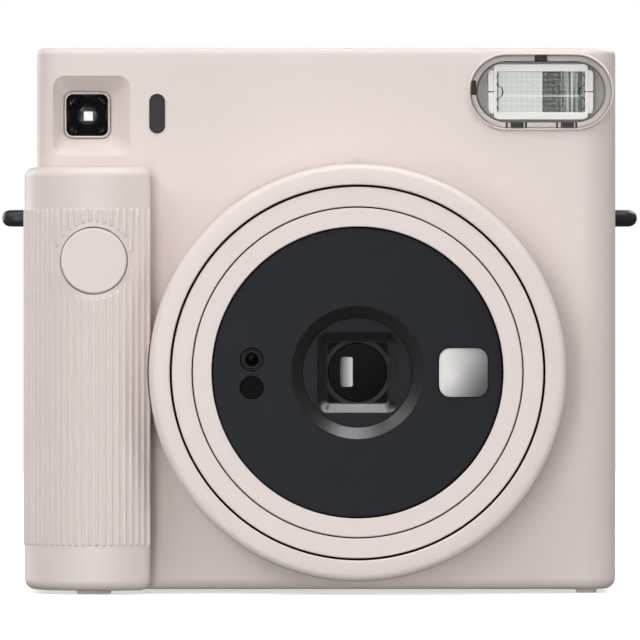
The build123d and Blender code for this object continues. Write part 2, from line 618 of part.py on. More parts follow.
def shutter_plates():
    """The bulkhead with the aperture and the two blade pins, and the plate that keeps the blades on them."""
    base = rod_y(33.9, -18.5, -17.3) - rod_y(2.7, -40, 0)
    for side in (-1, 1):
        base += rod_y(0.7, -19.75, -18.4, LENS_X + side * BLADE_PIVOT, LENS_Z)
    cover = rod_y(19.0, -20.6, -19.7) - rod_y(5.6, -40, 0)
    rim_wall = rod_y(19.0, -19.8, -18.4) - rod_y(18.0, -40, 0)
    return base + cover + (rim_wall - block(-40, 60, -30, 0, LENS_Z - 12, LENS_Z + 12))




def shutter_blade(side, y0):
    """A thin blade with a round leaf over the aperture and a short tail beyond its pin."""
    pivot_x = LENS_X + side * BLADE_PIVOT
    leaf = rod_y(BLADE_LEAF, y0, y0 + 0.25, LENS_X + side * 1.2, LENS_Z)
    arm = block(*sorted((LENS_X + side * 2, pivot_x + side * 3)), y0, y0 + 0.25, LENS_Z - 1.6, LENS_Z + 1.6)
    hub = rod_y(2.2, y0, y0 + 0.25, pivot_x, LENS_Z)
    return leaf + arm + hub - rod_y(0.78, -40, 0, pivot_x, LENS_Z)


def shutter_magnet():
    """The coil that throws the blades, on the back of the bulkhead."""
    core = block(LENS_X + 12, LENS_X + 24, -17.2, -14.2, LENS_Z - 16, LENS_Z - 12)
    coil = rod_x(3.2, LENS_X + 13.5, LENS_X + 22.5, -14.0, LENS_Z - 14)
    return core + (coil & block(0, 60, -17.2, 0, 0, 90))


# ---------------------------------------------------------------- front details


def shutter_button():
    """The round button in the grip: a shallow dished cap on a guide stem."""
    face = GRIP_FRONT + 0.05
    cap = rod_y(BUTTON_R, face, face + 3.4, BUTTON_X, BUTTON_Z)
    cap = fillet(cap.edges().sort_by(Axis.Y)[0], 0.45)
    cap -= rod_y(BUTTON_R - 1.6, face + 1.6, face + 4, BUTTON_X, BUTTON_Z)
    return cap + rod_y(1.4, face + 1.5, -19.0, BUTTON_X, BUTTON_Z)


def button_spring():
    """The spring that lifts the shutter button."""
    height = 5.0
    spring = coil_spring(3.0, 0.3, height, 3.5)
    return Pos(BUTTON_X, GRIP_FRONT + 1.95, BUTTON_Z) * Rot(-90, 0, 0) * spring


def light_meter_window():
    """The dark window of the exposure meter, with its flange behind the shell."""
    lens = prism_y(SlotOverall(METER_H, METER_W, rotation=90), BODY_FRONT + 0.35, -11.4, METER_X, METER_Z)
    flange = block(METER_X - 3.5, METER_X + 3.5, -11.45, -10.2, METER_Z - 6, METER_Z + 6)
    return lens + flange


def finder_tube():
    """The viewfinder's square tunnel, with a step for each lens."""
    half = FINDER_SIZE / 2
    tube = block(FINDER_X - half - 1.4, FINDER_X + half + 1.4, -7.4, 24.6, FINDER_Z - half - 1.4, FINDER_Z + half + 1.4)
    nose = prism_y(RectangleRounded(FINDER_SIZE + 0.2, FINDER_SIZE + 0.2, 1.65), -9.2, -7.3, FINDER_X, FINDER_Z)
    bore = funnel_y(Rectangle(8.2, 8.2), Rectangle(6.6, 6.6), -9.5, 24.7, FINDER_X, FINDER_Z)
    front_seat = prism_y(RectangleRounded(8.8, 8.8, 1.0), -10, -4.25, FINDER_X, FINDER_Z)
    rear_seat = prism_y(RectangleRounded(8.1, 8.1, 1.0), 22.4, 25, FINDER_X, FINDER_Z)
    return tube + nose - bore - front_seat - rear_seat


def finder_lens(y0, y1, size, face_r, hollow):
    """A square-cut lens whose one face is part of a sphere."""
    slab = prism_y(RectangleRounded(size, size, 1.0), y0, y1, FINDER_X, FINDER_Z)
    if hollow:
        return slab - Pos(FINDER_X, y0 + LENS_WEB + face_r, FINDER_Z) * Sphere(face_r)
    return slab & (Pos(FINDER_X, y1 - face_r, FINDER_Z) * Sphere(face_r))


def finder_lenses():
    """The viewfinder's hollow front lens and its bulging eye lens."""
    return Compound([finder_lens(-8.8, -4.3, 8.7, 6.5, True), finder_lens(22.45, 25.2, 8.0, 22.0, False)])


def eyepiece_bezel():
    """The dark surround of the eyepiece, with a square hood round the rear lens."""
    size = EYE_BEZEL - 0.1
    bezel = prism_y(RectangleRounded(size, size, 2.45), 24.65, BODY_REAR + 0.9, FINDER_X, FINDER_Z)
    bezel = fillet(rim(bezel, Axis.Y), 0.6)
    mouth, throat = RectangleRounded(10.6, 10.6, 1.6), RectangleRounded(EYE_SIZE + 0.2, EYE_SIZE + 0.2, 0.6)
    bezel -= funnel_y(throat, mouth, 25.4, BODY_REAR + 0.91, FINDER_X, FINDER_Z)
    return bezel - prism_y(throat, 20, 25.5, FINDER_X, FINDER_Z)


def charge_lamp():
    """The small lamp beside the eyepiece that shows that the flash is charging."""
    pipe = rod_y(LAMP_R, 22.6, BODY_REAR + 0.25, LAMP_X, FINDER_Z)
    pipe = fillet(pipe.edges().sort_by(Axis.Y)[-1], 0.5)
    return pipe + rod_y(1.8, 22.6, 25.3, LAMP_X, FINDER_Z)


def flash_window():
    """The clear window over the flash, with a raised middle."""
    flange = prism_y(SlotOverall(FLASH_W, FLASH_H), FLASH_FACE + 0.25, FLASH_FACE + 1.55, FLASH_X, FLASH_Z)
    middle = prism_y(SlotOverall(27.4, 12.6), FLASH_FACE - 0.35, FLASH_FACE + 1.55, FLASH_X, FLASH_Z)
    middle = fillet(rim(middle, Axis.Y, last=False), 0.3)
    return flange + middle


def trough(half_height, rear, width):
    """A solid bar with the parabolic section of the flash's reflector, its mouth at FLASH_MOUTH."""
    depth = rear - FLASH_MOUTH
    steps = [k / 8 for k in range(-8, 9)]
    curve = Spline(*[(rear - depth * t**2, half_height * t) for t in steps])
    section = make_face(Curve() + [curve, Line(curve @ 1, curve @ 0)])
    bar = extrude(Plane(origin=(FLASH_X, 0, FLASH_Z), x_dir=(0, 1, 0), z_dir=(1, 0, 0)) * section, width / 2, both=True)
    return bar


def flash_reflector():
    """The bright parabolic trough behind the flash tube, thin-walled and open to the front."""
    wall = 0.35
    shell = trough(REFLECTOR_H / 2 + wall, -3.6, REFLECTOR_W + 2 * wall) - trough(REFLECTOR_H / 2, -4.0, REFLECTOR_W)
    for side in (-1, 1):
        end = FLASH_X + side * REFLECTOR_W / 2
        shell -= rod_x(1.6, end - 1, end + 1, TUBE_Y, FLASH_Z)
    return shell


def flash_tube():
    """The glass discharge tube across the reflector, with a metal cap at each end."""
    return rod_x(1.25, FLASH_X - 12.6, FLASH_X + 12.6, TUBE_Y, FLASH_Z)


def flash_holder():
    """The white frame behind the window, with a raised front round the reflector and wings over the tube's ends."""
    plate = prism_y(SlotOverall(28.2, 13.2), -10.4, -1.6, FLASH_X, FLASH_Z)
    front = prism_y(RectangleRounded(22.9, 9.5, 0.9), FLASH_MOUTH, -10.3, FLASH_X, FLASH_Z)
    bands = prism_y(RectangleRounded(20.6, 12.1, 0.8), FLASH_MOUTH - 0.15, -10.3, FLASH_X, FLASH_Z)
    cavity = prism_y(Rectangle(REFLECTOR_W + 0.9, REFLECTOR_H + 0.9), FLASH_MOUTH - 0.2, -3.5, FLASH_X, FLASH_Z)
    ends = block(FLASH_X - 12.7, FLASH_X + 12.7, TUBE_Y - 1.35, -1, FLASH_Z - 1.35, FLASH_Z + 1.35)
    slits = block(FLASH_X - 12, FLASH_X + 12, FLASH_MOUTH - 1, TUBE_Y, FLASH_Z - 0.12, FLASH_Z + 0.12)
    return plate + front + bands - cavity - ends - slits


# ---------------------------------------------------------------- film path


def film_chamber():
    """The well that the film pack drops into, with the picture aperture in front and a slit above."""
    w = CHAMBER_WALL
    outer = block(CHAMBER_LEFT - w, CHAMBER_RIGHT + w, CHAMBER_FRONT, CHAMBER_REAR, CHAMBER_LOW - w, CHAMBER_HIGH + w)
    well = block(CHAMBER_LEFT, CHAMBER_RIGHT, CHAMBER_FRONT + w, 40, CHAMBER_LOW, CHAMBER_HIGH)
    solid = outer - well - prism_y(Rectangle(IMAGE, IMAGE), 0, 20)
    solid -= block(LENS_X - 37, LENS_X + 37, FILM_Y - 1.0, FILM_Y + 1.2, 90, 110)
    return solid - block(CLAW_X - 1.8, CLAW_X + 1.8, 0, 20, 9.0, 30.0)


CLAW_X, CLAW_TRAVEL = -28.6, 9.0


def film_pack():
    """The cartridge: a thin-walled box, open in front for the picture and behind for the pressure pads."""
    x0, x1 = LENS_X - PACK_W / 2, LENS_X + PACK_W / 2
    solid = block(x0, x1, PACK_FRONT, PACK_REAR, PACK_LOW, PACK_HIGH)
    solid = fillet(solid.edges().filter_by(Axis.Y), 1.5)
    solid -= block(x0 + 1.8, x1 - 1.8, PACK_FRONT + 1.0, PACK_REAR - 1.2, PACK_LOW + 1.8, PACK_HIGH - 1.8)
    solid -= prism_y(Rectangle(IMAGE, IMAGE), 0, 18)
    solid -= block(LENS_X - 36.6, LENS_X + 36.6, FILM_Y - 0.8, FILM_Y + 0.9, 90, 110)
    for side in (-1, 1):
        solid -= block(*sorted((LENS_X + side * 8, LENS_X + side * 28)), 20, 30, 22, 78)
    return solid - block(CLAW_X - 2.2, CLAW_X + 2.2, 0, PACK_FRONT + 1.6, 0, 26)


def film_sheets():
    """The stack of unexposed prints in the cartridge."""
    return block(LENS_X - 36, LENS_X + 36, PACK_FRONT + 1.4, PACK_FRONT + 5.8, LENS_Z - 37.5, LENS_Z + 48.5)


def film_claw():
    """The slider that pushes a print up into the rollers, with a hook that reaches through the chamber."""
    slider = block(CLAW_X - 1.5, CLAW_X + 1.5, 9.6, 10.9, 9.6, 50.0)
    hook = block(CLAW_X - 1.3, CLAW_X + 1.3, 10.8, 14.15, 9.6, 10.7)
    return slider + hook


FRONT_ROLLER_Y, REAR_ROLLER_Y = FILM_Y - ROLLER_GAP_HALF, FILM_Y + ROLLER_GAP_HALF
ROLLER_X0, ROLLER_X1 = LENS_X - 38.2, LENS_X + 38.2
PLATE_X0, PLATE_X1 = -32.8, 48.1
PLATE_T = 1.2
GEAR_A, GEAR_B = (-36.2, -33.6), (-39.2, -36.6)
IDLER_LARGE, IDLER_SMALL, PINION = 36, 16, 12
IDLER_Z = ROLLER_Z - (ROLLER_TEETH + IDLER_SMALL) * MODULE / 2
MOTOR_Z = IDLER_Z - (IDLER_LARGE + PINION) * MODULE / 2
SHAFT_R, SHAFT_FIT = 1.5, 0.05


def roller(y, tooth_at):
    """A feed roller with its two thin journals and, on the left one, its gear."""
    body = rod_x(ROLLER_R, ROLLER_X0, ROLLER_X1, y, ROLLER_Z)
    body = chamfer(body.edges().filter_by(GeomType.CIRCLE), 0.3)
    shaft = rod_x(SHAFT_R, GEAR_A[0], PLATE_X1 + PLATE_T + 0.4, y, ROLLER_Z)
    return body + shaft + gear(ROLLER_TEETH, *GEAR_A, y, ROLLER_Z, tooth_at, SHAFT_R - 0.1)


def roller_bracket():
    """The bent steel frame that holds the rollers, and below its left plate the idler's pin."""
    left = block(PLATE_X0, PLATE_X0 + PLATE_T, 4.6, 22.5, CHAMBER_HIGH + 1.65, 112)
    left += block(PLATE_X0, PLATE_X0 + PLATE_T, 4.6, 11.1, 93.5, 104)
    right = block(PLATE_X1, PLATE_X1 + PLATE_T, 4.6, 22.5, CHAMBER_HIGH + 1.65, 112)
    front = block(PLATE_X0, PLATE_X1 + PLATE_T, 3.8, 5.0, CHAMBER_HIGH + 2.0, 112)
    solid = left + right + front
    for y in (FRONT_ROLLER_Y, REAR_ROLLER_Y):
        solid -= rod_x(SHAFT_R + SHAFT_FIT, -50, 60, y, ROLLER_Z)
    return solid + rod_x(1.0, GEAR_B[0] - 0.6, PLATE_X0 + 0.5, FRONT_ROLLER_Y, IDLER_Z)


def idler_gear():
    """The double gear between the motor's pinion and the front roller."""
    small = gear(IDLER_SMALL, *GEAR_A, FRONT_ROLLER_Y, IDLER_Z, 90 + 180 / IDLER_SMALL, 1.05)
    large = gear(IDLER_LARGE, *GEAR_B, FRONT_ROLLER_Y, IDLER_Z, 270, 1.05)
    hub = rod_x(2.6, GEAR_B[1], GEAR_A[0], FRONT_ROLLER_Y, IDLER_Z)
    return small + large + (hub - rod_x(1.05, -50, -30, FRONT_ROLLER_Y, IDLER_Z))


def motor_pinion():
    """The motor's shaft with the pinion on it."""
    teeth = gear(PINION, *GEAR_B, FRONT_ROLLER_Y, MOTOR_Z, 90 + 180 / PINION, 0.75)
    return teeth + rod_x(0.75, -46.0, GEAR_B[1] + 0.4, FRONT_ROLLER_Y, MOTOR_Z)


def drive_motor():
    """The small direct-current motor: a can with a boss round its shaft."""
    can = rod_x(7.5, -59.3, -42.0, FRONT_ROLLER_Y, MOTOR_Z)
    can = fillet(can.edges().filter_by(GeomType.CIRCLE), 0.8)
    can += rod_x(3.0, -42.2, -40.8, FRONT_ROLLER_Y, MOTOR_Z)
    return can - rod_x(0.8, -46.2, -30, FRONT_ROLLER_Y, MOTOR_Z)


FLAP_HINGE = (SLOT_Y + 2.0, 113.6)


def exit_slot_frame():
    """The dark frame of the slot in the top that the print comes out of."""
    plan = Plane(origin=(LENS_X, SLOT_Y, 112.4))
    frame = extrude(plan * RectangleRounded(SLOT_OUT_W, SLOT_OUT_H, 1.95), TOP + 0.2 - 112.4)
    frame = fillet(rim(frame, Axis.Z), 0.35)
    frame -= extrude(plan * Rectangle(SLOT_W, SLOT_H), 20)
    for side in (-1, 1):
        x = LENS_X + side * SLOT_W / 2
        frame -= rod_x(0.65, *sorted((x - side, x + side * 1.2)), *FLAP_HINGE)
    return frame


def exit_flap():
    """The thin flap that keeps light out of the slot and that the print lifts."""
    y, z = FLAP_HINGE
    leaf = block(LENS_X - 37.2, LENS_X + 37.2, SLOT_Y - 2.3, y, z - 0.35, z + 0.35)
    barrel = rod_x(0.45, LENS_X - 37.2, LENS_X + 37.2, y, z)
    pins = rod_x(0.5, LENS_X - SLOT_W / 2 - 1.0, LENS_X + SLOT_W / 2 + 1.0, y, z)
    return leaf + barrel + pins


# ---------------------------------------------------------------- film door


def film_door():
    """The door over the film, hinged beside the grip, with pockets for the pressure pads and the latch."""
    solid = prism_y(door_outline(), DOOR_INNER, DOOR_OUTER, DOOR_X, DOOR_Z)
    solid = fillet(rim(solid, Axis.Y), 1.1)
    for low, high in KNUCKLES:
        web = block(HINGE_X, DOOR_LEFT + 0.5, DOOR_INNER, HINGE_Y + KNUCKLE_R, low, high)
        solid += web + rod_z(KNUCKLE_R, low, high, HINGE_X, HINGE_Y)
        solid -= rod_z(HINGE_PIN_R + 0.05, low - 1, high + 1, HINGE_X, HINGE_Y)
    for side in (-1, 1):
        pocket = block(*sorted((LENS_X + side * 9, LENS_X + side * 27)), 20, DOOR_INNER + 1.6, 23, 77)
        solid -= pocket
    solid -= prism_y(SlotOverall(FILM_WINDOW_H + 0.2, FILM_WINDOW_W + 0.2, rotation=90), 20, 40, LENS_X, FILM_WINDOW_Z)
    seat = SlotOverall(FILM_WINDOW_H + 2.4, FILM_WINDOW_W + 2.4, rotation=90)
    solid -= prism_y(seat, 20, DOOR_INNER + 1.0, LENS_X, FILM_WINDOW_Z)
    solid -= block(LATCH_X - 3.2, LATCH_X + 3.2, 27.2, 40, DOOR_Z - 11.2, DOOR_Z + 11.2)
    return solid - block(LATCH_X - 1.5, DOOR_RIGHT + 1, DOOR_INNER + 0.6, 27.4, DOOR_Z - 3.7, DOOR_Z + 7.7)


FILM_WINDOW_W, FILM_WINDOW_H, FILM_WINDOW_Z = 7.0, 24.0, 58.0
LATCH_X, LATCH_TRAVEL = 52.3, 4.0


def film_window():
    """The dark see-through strip in the film door that shows whether a pack is loaded."""
    pane = prism_y(SlotOverall(FILM_WINDOW_H, FILM_WINDOW_W, rotation=90), DOOR_INNER + 0.1, DOOR_OUTER - 0.3, LENS_X, FILM_WINDOW_Z)
    flange = SlotOverall(FILM_WINDOW_H + 2.2, FILM_WINDOW_W + 2.2, rotation=90)
    return pane + prism_y(flange, DOOR_INNER + 0.1, DOOR_INNER + 0.95, LENS_X, FILM_WINDOW_Z)


def door_seal():
    """The foam strip on the film door that meets the chamber's rim."""
    w = CHAMBER_WALL
    outer = block(CHAMBER_LEFT - w, CHAMBER_RIGHT + w, CHAMBER_REAR + 0.05, DOOR_INNER, CHAMBER_LOW - w, CHAMBER_HIGH + w)
    outer = fillet(outer.edges().filter_by(Axis.Y), 3.0)
    return outer - block(CHAMBER_LEFT, CHAMBER_RIGHT, 20, 30, CHAMBER_LOW, CHAMBER_HIGH)


def door_hinge_pins():
    """Two steel pins, each through one knuckle of the film door."""
    return Compound([rod_z(HINGE_PIN_R, low - 2.9, high + 2.9, HINGE_X, HINGE_Y) for low, high in KNUCKLES])


def door_latch():
    """The sliding catch in the film door: a ribbed thumb piece with a tongue towards the shell."""
    slide = block(LATCH_X - 3.0, LATCH_X + 3.0, 27.3, 28.3, DOOR_Z - 11.0, DOOR_Z + 6.8)
    thumb = block(LATCH_X - 2.6, LATCH_X + 2.6, 28.2, 28.7, DOOR_Z - 10.0, DOOR_Z + 5.8)
    for k in range(6):
        z = DOOR_Z - 8.2 + 2.4 * k
        thumb -= block(LATCH_X - 3, LATCH_X + 3, 28.4, 29, z - 0.45, z + 0.45)
    tongue = block(LATCH_X - 1.2, DOOR_RIGHT + 1.4, DOOR_INNER + 0.8, 27.2, DOOR_Z - 3.4, DOOR_Z + 3.4)
    neck = block(LATCH_X - 1.2, LATCH_X + 1.2, DOOR_INNER + 0.8, 27.4, DOOR_Z - 3.4, DOOR_Z + 3.4)
    return slide + thumb + tongue + neck


def pressure_pads():
    """The two sprung pads on the door that press the prints forward."""
    pads = []
    for side in (-1, 1):
        x0, x1 = sorted((LENS_X + side * 10, LENS_X + side * 26))
        plate = block(x0, x1, 19.0, 20.2, 25, 75)
        plate = chamfer(rim(plate, Axis.Y, last=False), 0.5)
        skirt = block(x0 + 1, x1 - 1, 20.1, 24.6, 26, 74) - block(x0 + 2, x1 - 2, 20.2, 30, 27, 73)
        pads.append(plate + skirt)
    return Compound(pads)


def pad_springs():
    """The four springs behind the pressure pads."""
    springs = []
    for side in (-1, 1):
        for z in (38.0, 62.0):
            coil = coil_spring(3.2, 0.35, 6.0, 3)
            springs.append(Pos(LENS_X + side * 18, 20.7, z) * Rot(-90, 0, 0) * coil)
    return Compound(springs)


# ---------------------------------------------------------------- power and electronics


def battery_door():
    """The long door over the battery cells in the left side, hinged at its rear edge on its own two pins."""
    x0, x1 = SIDE_LEFT, SIDE_LEFT + WALL
    leaf = block(x0, x1, HATCH_FRONT, HATCH_HINGE[1], HATCH_LOW, HATCH_HIGH)
    front_edges = leaf.faces().sort_by(Axis.X)[0].edges().sort_by(Axis.Y)[:3]
    leaf = chamfer(front_edges, 0.35)
    leaf += rod_z(HATCH_KNUCKLE_R, HATCH_LOW, HATCH_HIGH, *HATCH_HINGE)
    leaf += rod_z(HATCH_PIN_R, HATCH_LOW - 2.0, HATCH_HIGH + 2.0, *HATCH_HINGE)
    for k in range(5):
        y = HATCH_FRONT + 2.2 + 1.5 * k
        leaf -= block(x0 - 1, x0 + 0.4, y - 0.4, y + 0.4, 58, 64)
    return leaf


def battery_box():
    """The channel that the two cells stand in, open towards the battery door."""
    x0, x1 = -61.8, CELL_X + CELL_R + 0.3
    y0, y1 = CELL_Y - CELL_R - 0.2, CELL_Y + CELL_R + 0.2
    outer = block(x0, x1 + 1.0, y0 - 1.0, y1 + 1.0, 5.6, 69.4)
    return outer - block(x0 - 1, x1, y0, y1, 6.8, 68.2)


def battery_cells():
    """Two lithium cells, one above the other, each with its raised positive end."""
    cells = []
    for low in CELL_LOWS:
        cell = rod_z(CELL_R, low, low + CELL_LENGTH - 1.0, CELL_X, CELL_Y)
        cell = fillet(cell.edges().filter_by(GeomType.CIRCLE), 0.7)
        cells.append(cell + rod_z(3.0, low + CELL_LENGTH - 1.1, low + CELL_LENGTH, CELL_X, CELL_Y))
    return Compound(cells)


def battery_contacts():
    """The spring contact under the lower cell and the plate above the upper one."""
    spring = Pos(CELL_X, CELL_Y, 7.5) * coil_spring(3.6, 0.35, 2.0, 2)
    low_plate = block(CELL_X - 5, CELL_X + 5, CELL_Y - 5, CELL_Y + 5, 6.85, 7.1)
    high_plate = block(CELL_X - 5, CELL_X + 5, CELL_Y - 5, CELL_Y + 5, 67.2, 67.9)
    return Compound([low_plate, spring, high_plate])


def circuit_boards():
    """The main board beside the film chamber, with its larger parts, and the button's switch board."""
    x0, x1 = CHAMBER_RIGHT + CHAMBER_WALL + 1.0, CHAMBER_RIGHT + CHAMBER_WALL + 2.2
    board = block(x0, x1, -6, 22, 10, 96)
    for y0, y1, z0, z1, high in ((0, 9, 14, 23, 1.6), (12, 19, 16, 26, 2.4), (-3, 6, 84, 92, 3.0), (10, 18, 82, 93, 1.8)):
        board += block(x1 - 0.1, x1 + high, y0, y1, z0, z1)
    switch = block(BUTTON_X - 8, BUTTON_X + 8, -17.2, -16.0, BUTTON_Z - 6, BUTTON_Z + 6)
    switch += block(BUTTON_X - 1.2, BUTTON_X + 1.2, -17.6, -17.1, BUTTON_Z - 1.2, BUTTON_Z + 1.2)
    return Compound([board, switch])


def flash_capacitor():
    """The electrolytic capacitor that stores the flash's charge."""
    can = rod_z(5.4, 34.0, 70.0, 57.1, 4.0)
    return fillet(can.edges().filter_by(GeomType.CIRCLE), 0.8)


def counter_dial():
    """The disc with the remaining-print numbers that turns behind the counter's window."""
    disc = rod_y(COUNTER_R, 23.6, 24.6, COUNTER_X, COUNTER_Z)
    hub = rod_y(1.8, 22.9, 23.7, COUNTER_X, COUNTER_Z)
    solid = disc + hub - rod_y(0.85, 0, 40, COUNTER_X, COUNTER_Z)
    for k in range(12):
        angle = math.radians(30 * k)
        x, z = COUNTER_X + COUNTER_R * math.cos(angle), COUNTER_Z + COUNTER_R * math.sin(angle)
        solid -= rod_y(0.6, 20, 30, x, z)
    return solid


def counter_bracket():
    """The plate under the counter's dial, with the pin it turns on."""
    plate = block(COUNTER_X - 7, COUNTER_X + 10.4, 21.95, 22.6, COUNTER_Z - 7, COUNTER_Z + 7)
    return plate + rod_y(0.8, 22.5, 25.0, COUNTER_X, COUNTER_Z)


def counter_window():
    """The clear pane over the counter."""
    pane = prism_y(RectangleRounded(COUNTER_WINDOW, COUNTER_WINDOW, 0.95), 25.2, BODY_REAR - 0.2, COUNTER_X, COUNTER_WINDOW_Z)
    size = COUNTER_WINDOW + 2.4
    return pane + prism_y(RectangleRounded(size, size, 1.0), 24.8, 25.45, COUNTER_X, COUNTER_WINDOW_Z)


PARTS = {
    "front_cover": front_cover,
    "rear_cover": rear_cover,
    "grip_cover": grip_cover,
    "case_screws": case_screws,
    "base_feet": base_feet,
    "strap_lugs": strap_lugs,
    "control_ring": control_ring,
    "outer_barrel": outer_barrel,
    "inner_barrel": inner_barrel,
    "lens_mount": lens_mount,
    "dark_box": dark_box,
    "lens_panel": lens_panel,
    "lens_bezel": lens_bezel,
    "taking_lens": taking_lens,
    "lens_cell": lens_cell,
    "selfie_mirror": selfie_mirror,
    "light_sensors": light_sensors,
    "shutter_plates": shutter_plates,
    "shutter_blade_left": lambda: shutter_blade(-1, -19.4),
    "shutter_blade_right": lambda: shutter_blade(1, -18.95),
    "shutter_magnet": shutter_magnet,
    "shutter_button": shutter_button,
    "button_spring": button_spring,
    "light_meter_window": light_meter_window,
    "finder_tube": finder_tube,
    "finder_lenses": finder_lenses,
    "eyepiece_bezel": eyepiece_bezel,
    "charge_lamp": charge_lamp,
    "flash_window": flash_window,
    "flash_reflector": flash_reflector,
    "flash_tube": flash_tube,
    "flash_holder": flash_holder,
    "film_chamber": film_chamber,
    "film_pack": film_pack,
    "film_sheets": film_sheets,
    "film_claw": film_claw,
    "front_roller": lambda: roller(FRONT_ROLLER_Y, 0),
    "rear_roller": lambda: roller(REAR_ROLLER_Y, 180 + 180 / ROLLER_TEETH),
    "roller_bracket": roller_bracket,
    "idler_gear": idler_gear,
    "motor_pinion": motor_pinion,
    "drive_motor": drive_motor,
    "exit_slot_frame": exit_slot_frame,
    "exit_flap": exit_flap,
    "film_door": film_door,
    "film_window": film_window,
    "door_seal": door_seal,
    "door_hinge_pins": door_hinge_pins,
    "door_latch": door_latch,
    "pressure_pads": pressure_pads,
    "pad_springs": pad_springs,
    "battery_door": battery_door,
    "battery_box": battery_box,
    "battery_cells": battery_cells,
    "battery_contacts": battery_contacts,
    "circuit_boards": circuit_boards,
    "flash_capacitor": flash_capacitor,
    "counter_dial": counter_dial,
    "counter_bracket": counter_bracket,
    "counter_window": counter_window,
}

os.makedirs("parts", exist_ok=True)
for name, make in PARTS.items():
    export_step(make(), f"parts/{name}.step")
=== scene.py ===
import math

import bmesh
import bpy
from mathutils import Matrix, Vector


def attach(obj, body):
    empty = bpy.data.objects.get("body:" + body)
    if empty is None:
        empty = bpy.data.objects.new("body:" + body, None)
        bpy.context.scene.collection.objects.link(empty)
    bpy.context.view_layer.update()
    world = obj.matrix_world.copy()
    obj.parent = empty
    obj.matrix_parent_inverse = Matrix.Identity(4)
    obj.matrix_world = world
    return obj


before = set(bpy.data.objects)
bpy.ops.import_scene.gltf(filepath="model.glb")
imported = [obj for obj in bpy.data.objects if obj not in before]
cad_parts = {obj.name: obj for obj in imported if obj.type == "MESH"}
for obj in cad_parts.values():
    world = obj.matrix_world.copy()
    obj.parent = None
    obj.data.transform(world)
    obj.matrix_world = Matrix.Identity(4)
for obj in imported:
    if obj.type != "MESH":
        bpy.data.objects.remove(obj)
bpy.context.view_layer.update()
MM = 0.001
SHARP = math.radians(28)

# Where the details sit on the front, in mm.
FLASH_X, FLASH_Z = 48.4, 109.7
FINDER_X, FINDER_Z = -50.9, 104.7
METER_X, METER_Z = -35.5, 104.9
LENS_X, LENS_Z = 8.25, 48.4
MIRROR_X = 31.2
UPPER_SENSOR_X, UPPER_SENSOR_Z = -14.7, 51.2


# ---------------------------------------------------------------- materials


class Paint:
    """A material's node tree, with short ways to add what the finishes below share."""

    def __init__(self, name):
        self.mat = bpy.data.materials.new(name)
        self.mat.use_nodes = True
        self.tree = self.mat.node_tree
        self.shader = self.tree.nodes["Principled BSDF"]
        self.out = self.tree.nodes["Material Output"]
        self.place = self.add("ShaderNodeTexCoord").outputs["Object"]

    def add(self, kind, inputs=None, **settings):
        node = self.tree.nodes.new(kind)
        for key, value in settings.items():
            setattr(node, key, value)
        for key, value in (inputs or {}).items():
            self.put(node.inputs[key], value)
        return node

    def put(self, socket, value):
        """Links an output to a socket, or sets the socket's own value."""
        if isinstance(value, bpy.types.NodeSocket):
            self.tree.links.new(value, socket)
        else:
            socket.default_value = value

    def set(self, **values):
        for key, value in values.items():
            self.put(self.shader.inputs[key.replace("_", " ")], value)
        return self

    def scaled(self, x, y, z):
        return self.add("ShaderNodeMapping", {"Vector": self.place, "Scale": (x, y, z)}).outputs[0]

    def noise(self, size_mm, detail=2.0, rough=0.5, where=None):
        """Noise whose features are about size_mm across."""
        inputs = {
            "Vector": where or self.place,
            "Scale": 1000.0 / size_mm,
            "Detail": detail,
            "Roughness": rough,
        }
        return self.add("ShaderNodeTexNoise", inputs).outputs["Fac"]

    def spots(self, size_mm, where=None):
        inputs = {"Vector": where or self.place, "Scale": 1000.0 / size_mm}
        return self.add("ShaderNodeTexVoronoi", inputs).outputs["Distance"]

    def span(self, fac, low, high, to_low=0.0, to_high=1.0):
        """Maps a value from one range to another, clamped."""
        inputs = {"Value": fac, "From Min": low, "From Max": high, "To Min": to_low, "To Max": to_high}
        return self.add("ShaderNodeMapRange", inputs).outputs[0]

    def blend(self, fac, one, two):
        node = self.add("ShaderNodeMix", data_type="RGBA")
        self.put(node.inputs[0], fac)
        self.put(node.inputs[6], one)
        self.put(node.inputs[7], two)
        return node.outputs[2]

    def maths(self, operation, one, two=0.0):
        node = self.add("ShaderNodeMath", operation=operation)
        self.put(node.inputs[0], one)
        self.put(node.inputs[1], two)
        return node.outputs[0]

    def bump(self, height, depth_mm, normal=None):
        node = self.add("ShaderNodeBump", {"Height": height, "Distance": depth_mm * MM, "Strength": 1.0})
        if normal is not None:
            self.put(node.inputs["Normal"], normal)
        return node.outputs[0]

    def edge(self, radius_mm):
        """Near 1 on an outer or inner edge and 0 elsewhere, with the rounded normal that shows it."""
        rounded = self.add("ShaderNodeBevel", {"Radius": radius_mm * MM}, samples=4).outputs[0]
        plain = self.add("ShaderNodeNewGeometry").outputs["Normal"]
        dot = self.add("ShaderNodeVectorMath", operation="DOT_PRODUCT")
        self.put(dot.inputs[0], rounded)
        self.put(dot.inputs[1], plain)
        return self.span(dot.outputs["Value"], 0.995, 0.86), rounded


def srgb(r, g, b):
    """An sRGB colour of 0 to 255 as a linear RGBA value."""
    def channel(v):
        v /= 255.0
        return v / 12.92 if v <= 0.04045 else ((v + 0.055) / 1.055) ** 2.4
    return (channel(r), channel(g), channel(b), 1.0)


def tint(colour, amount):
    return tuple(min(1.0, c * amount) for c in colour[:3]) + (1.0,)


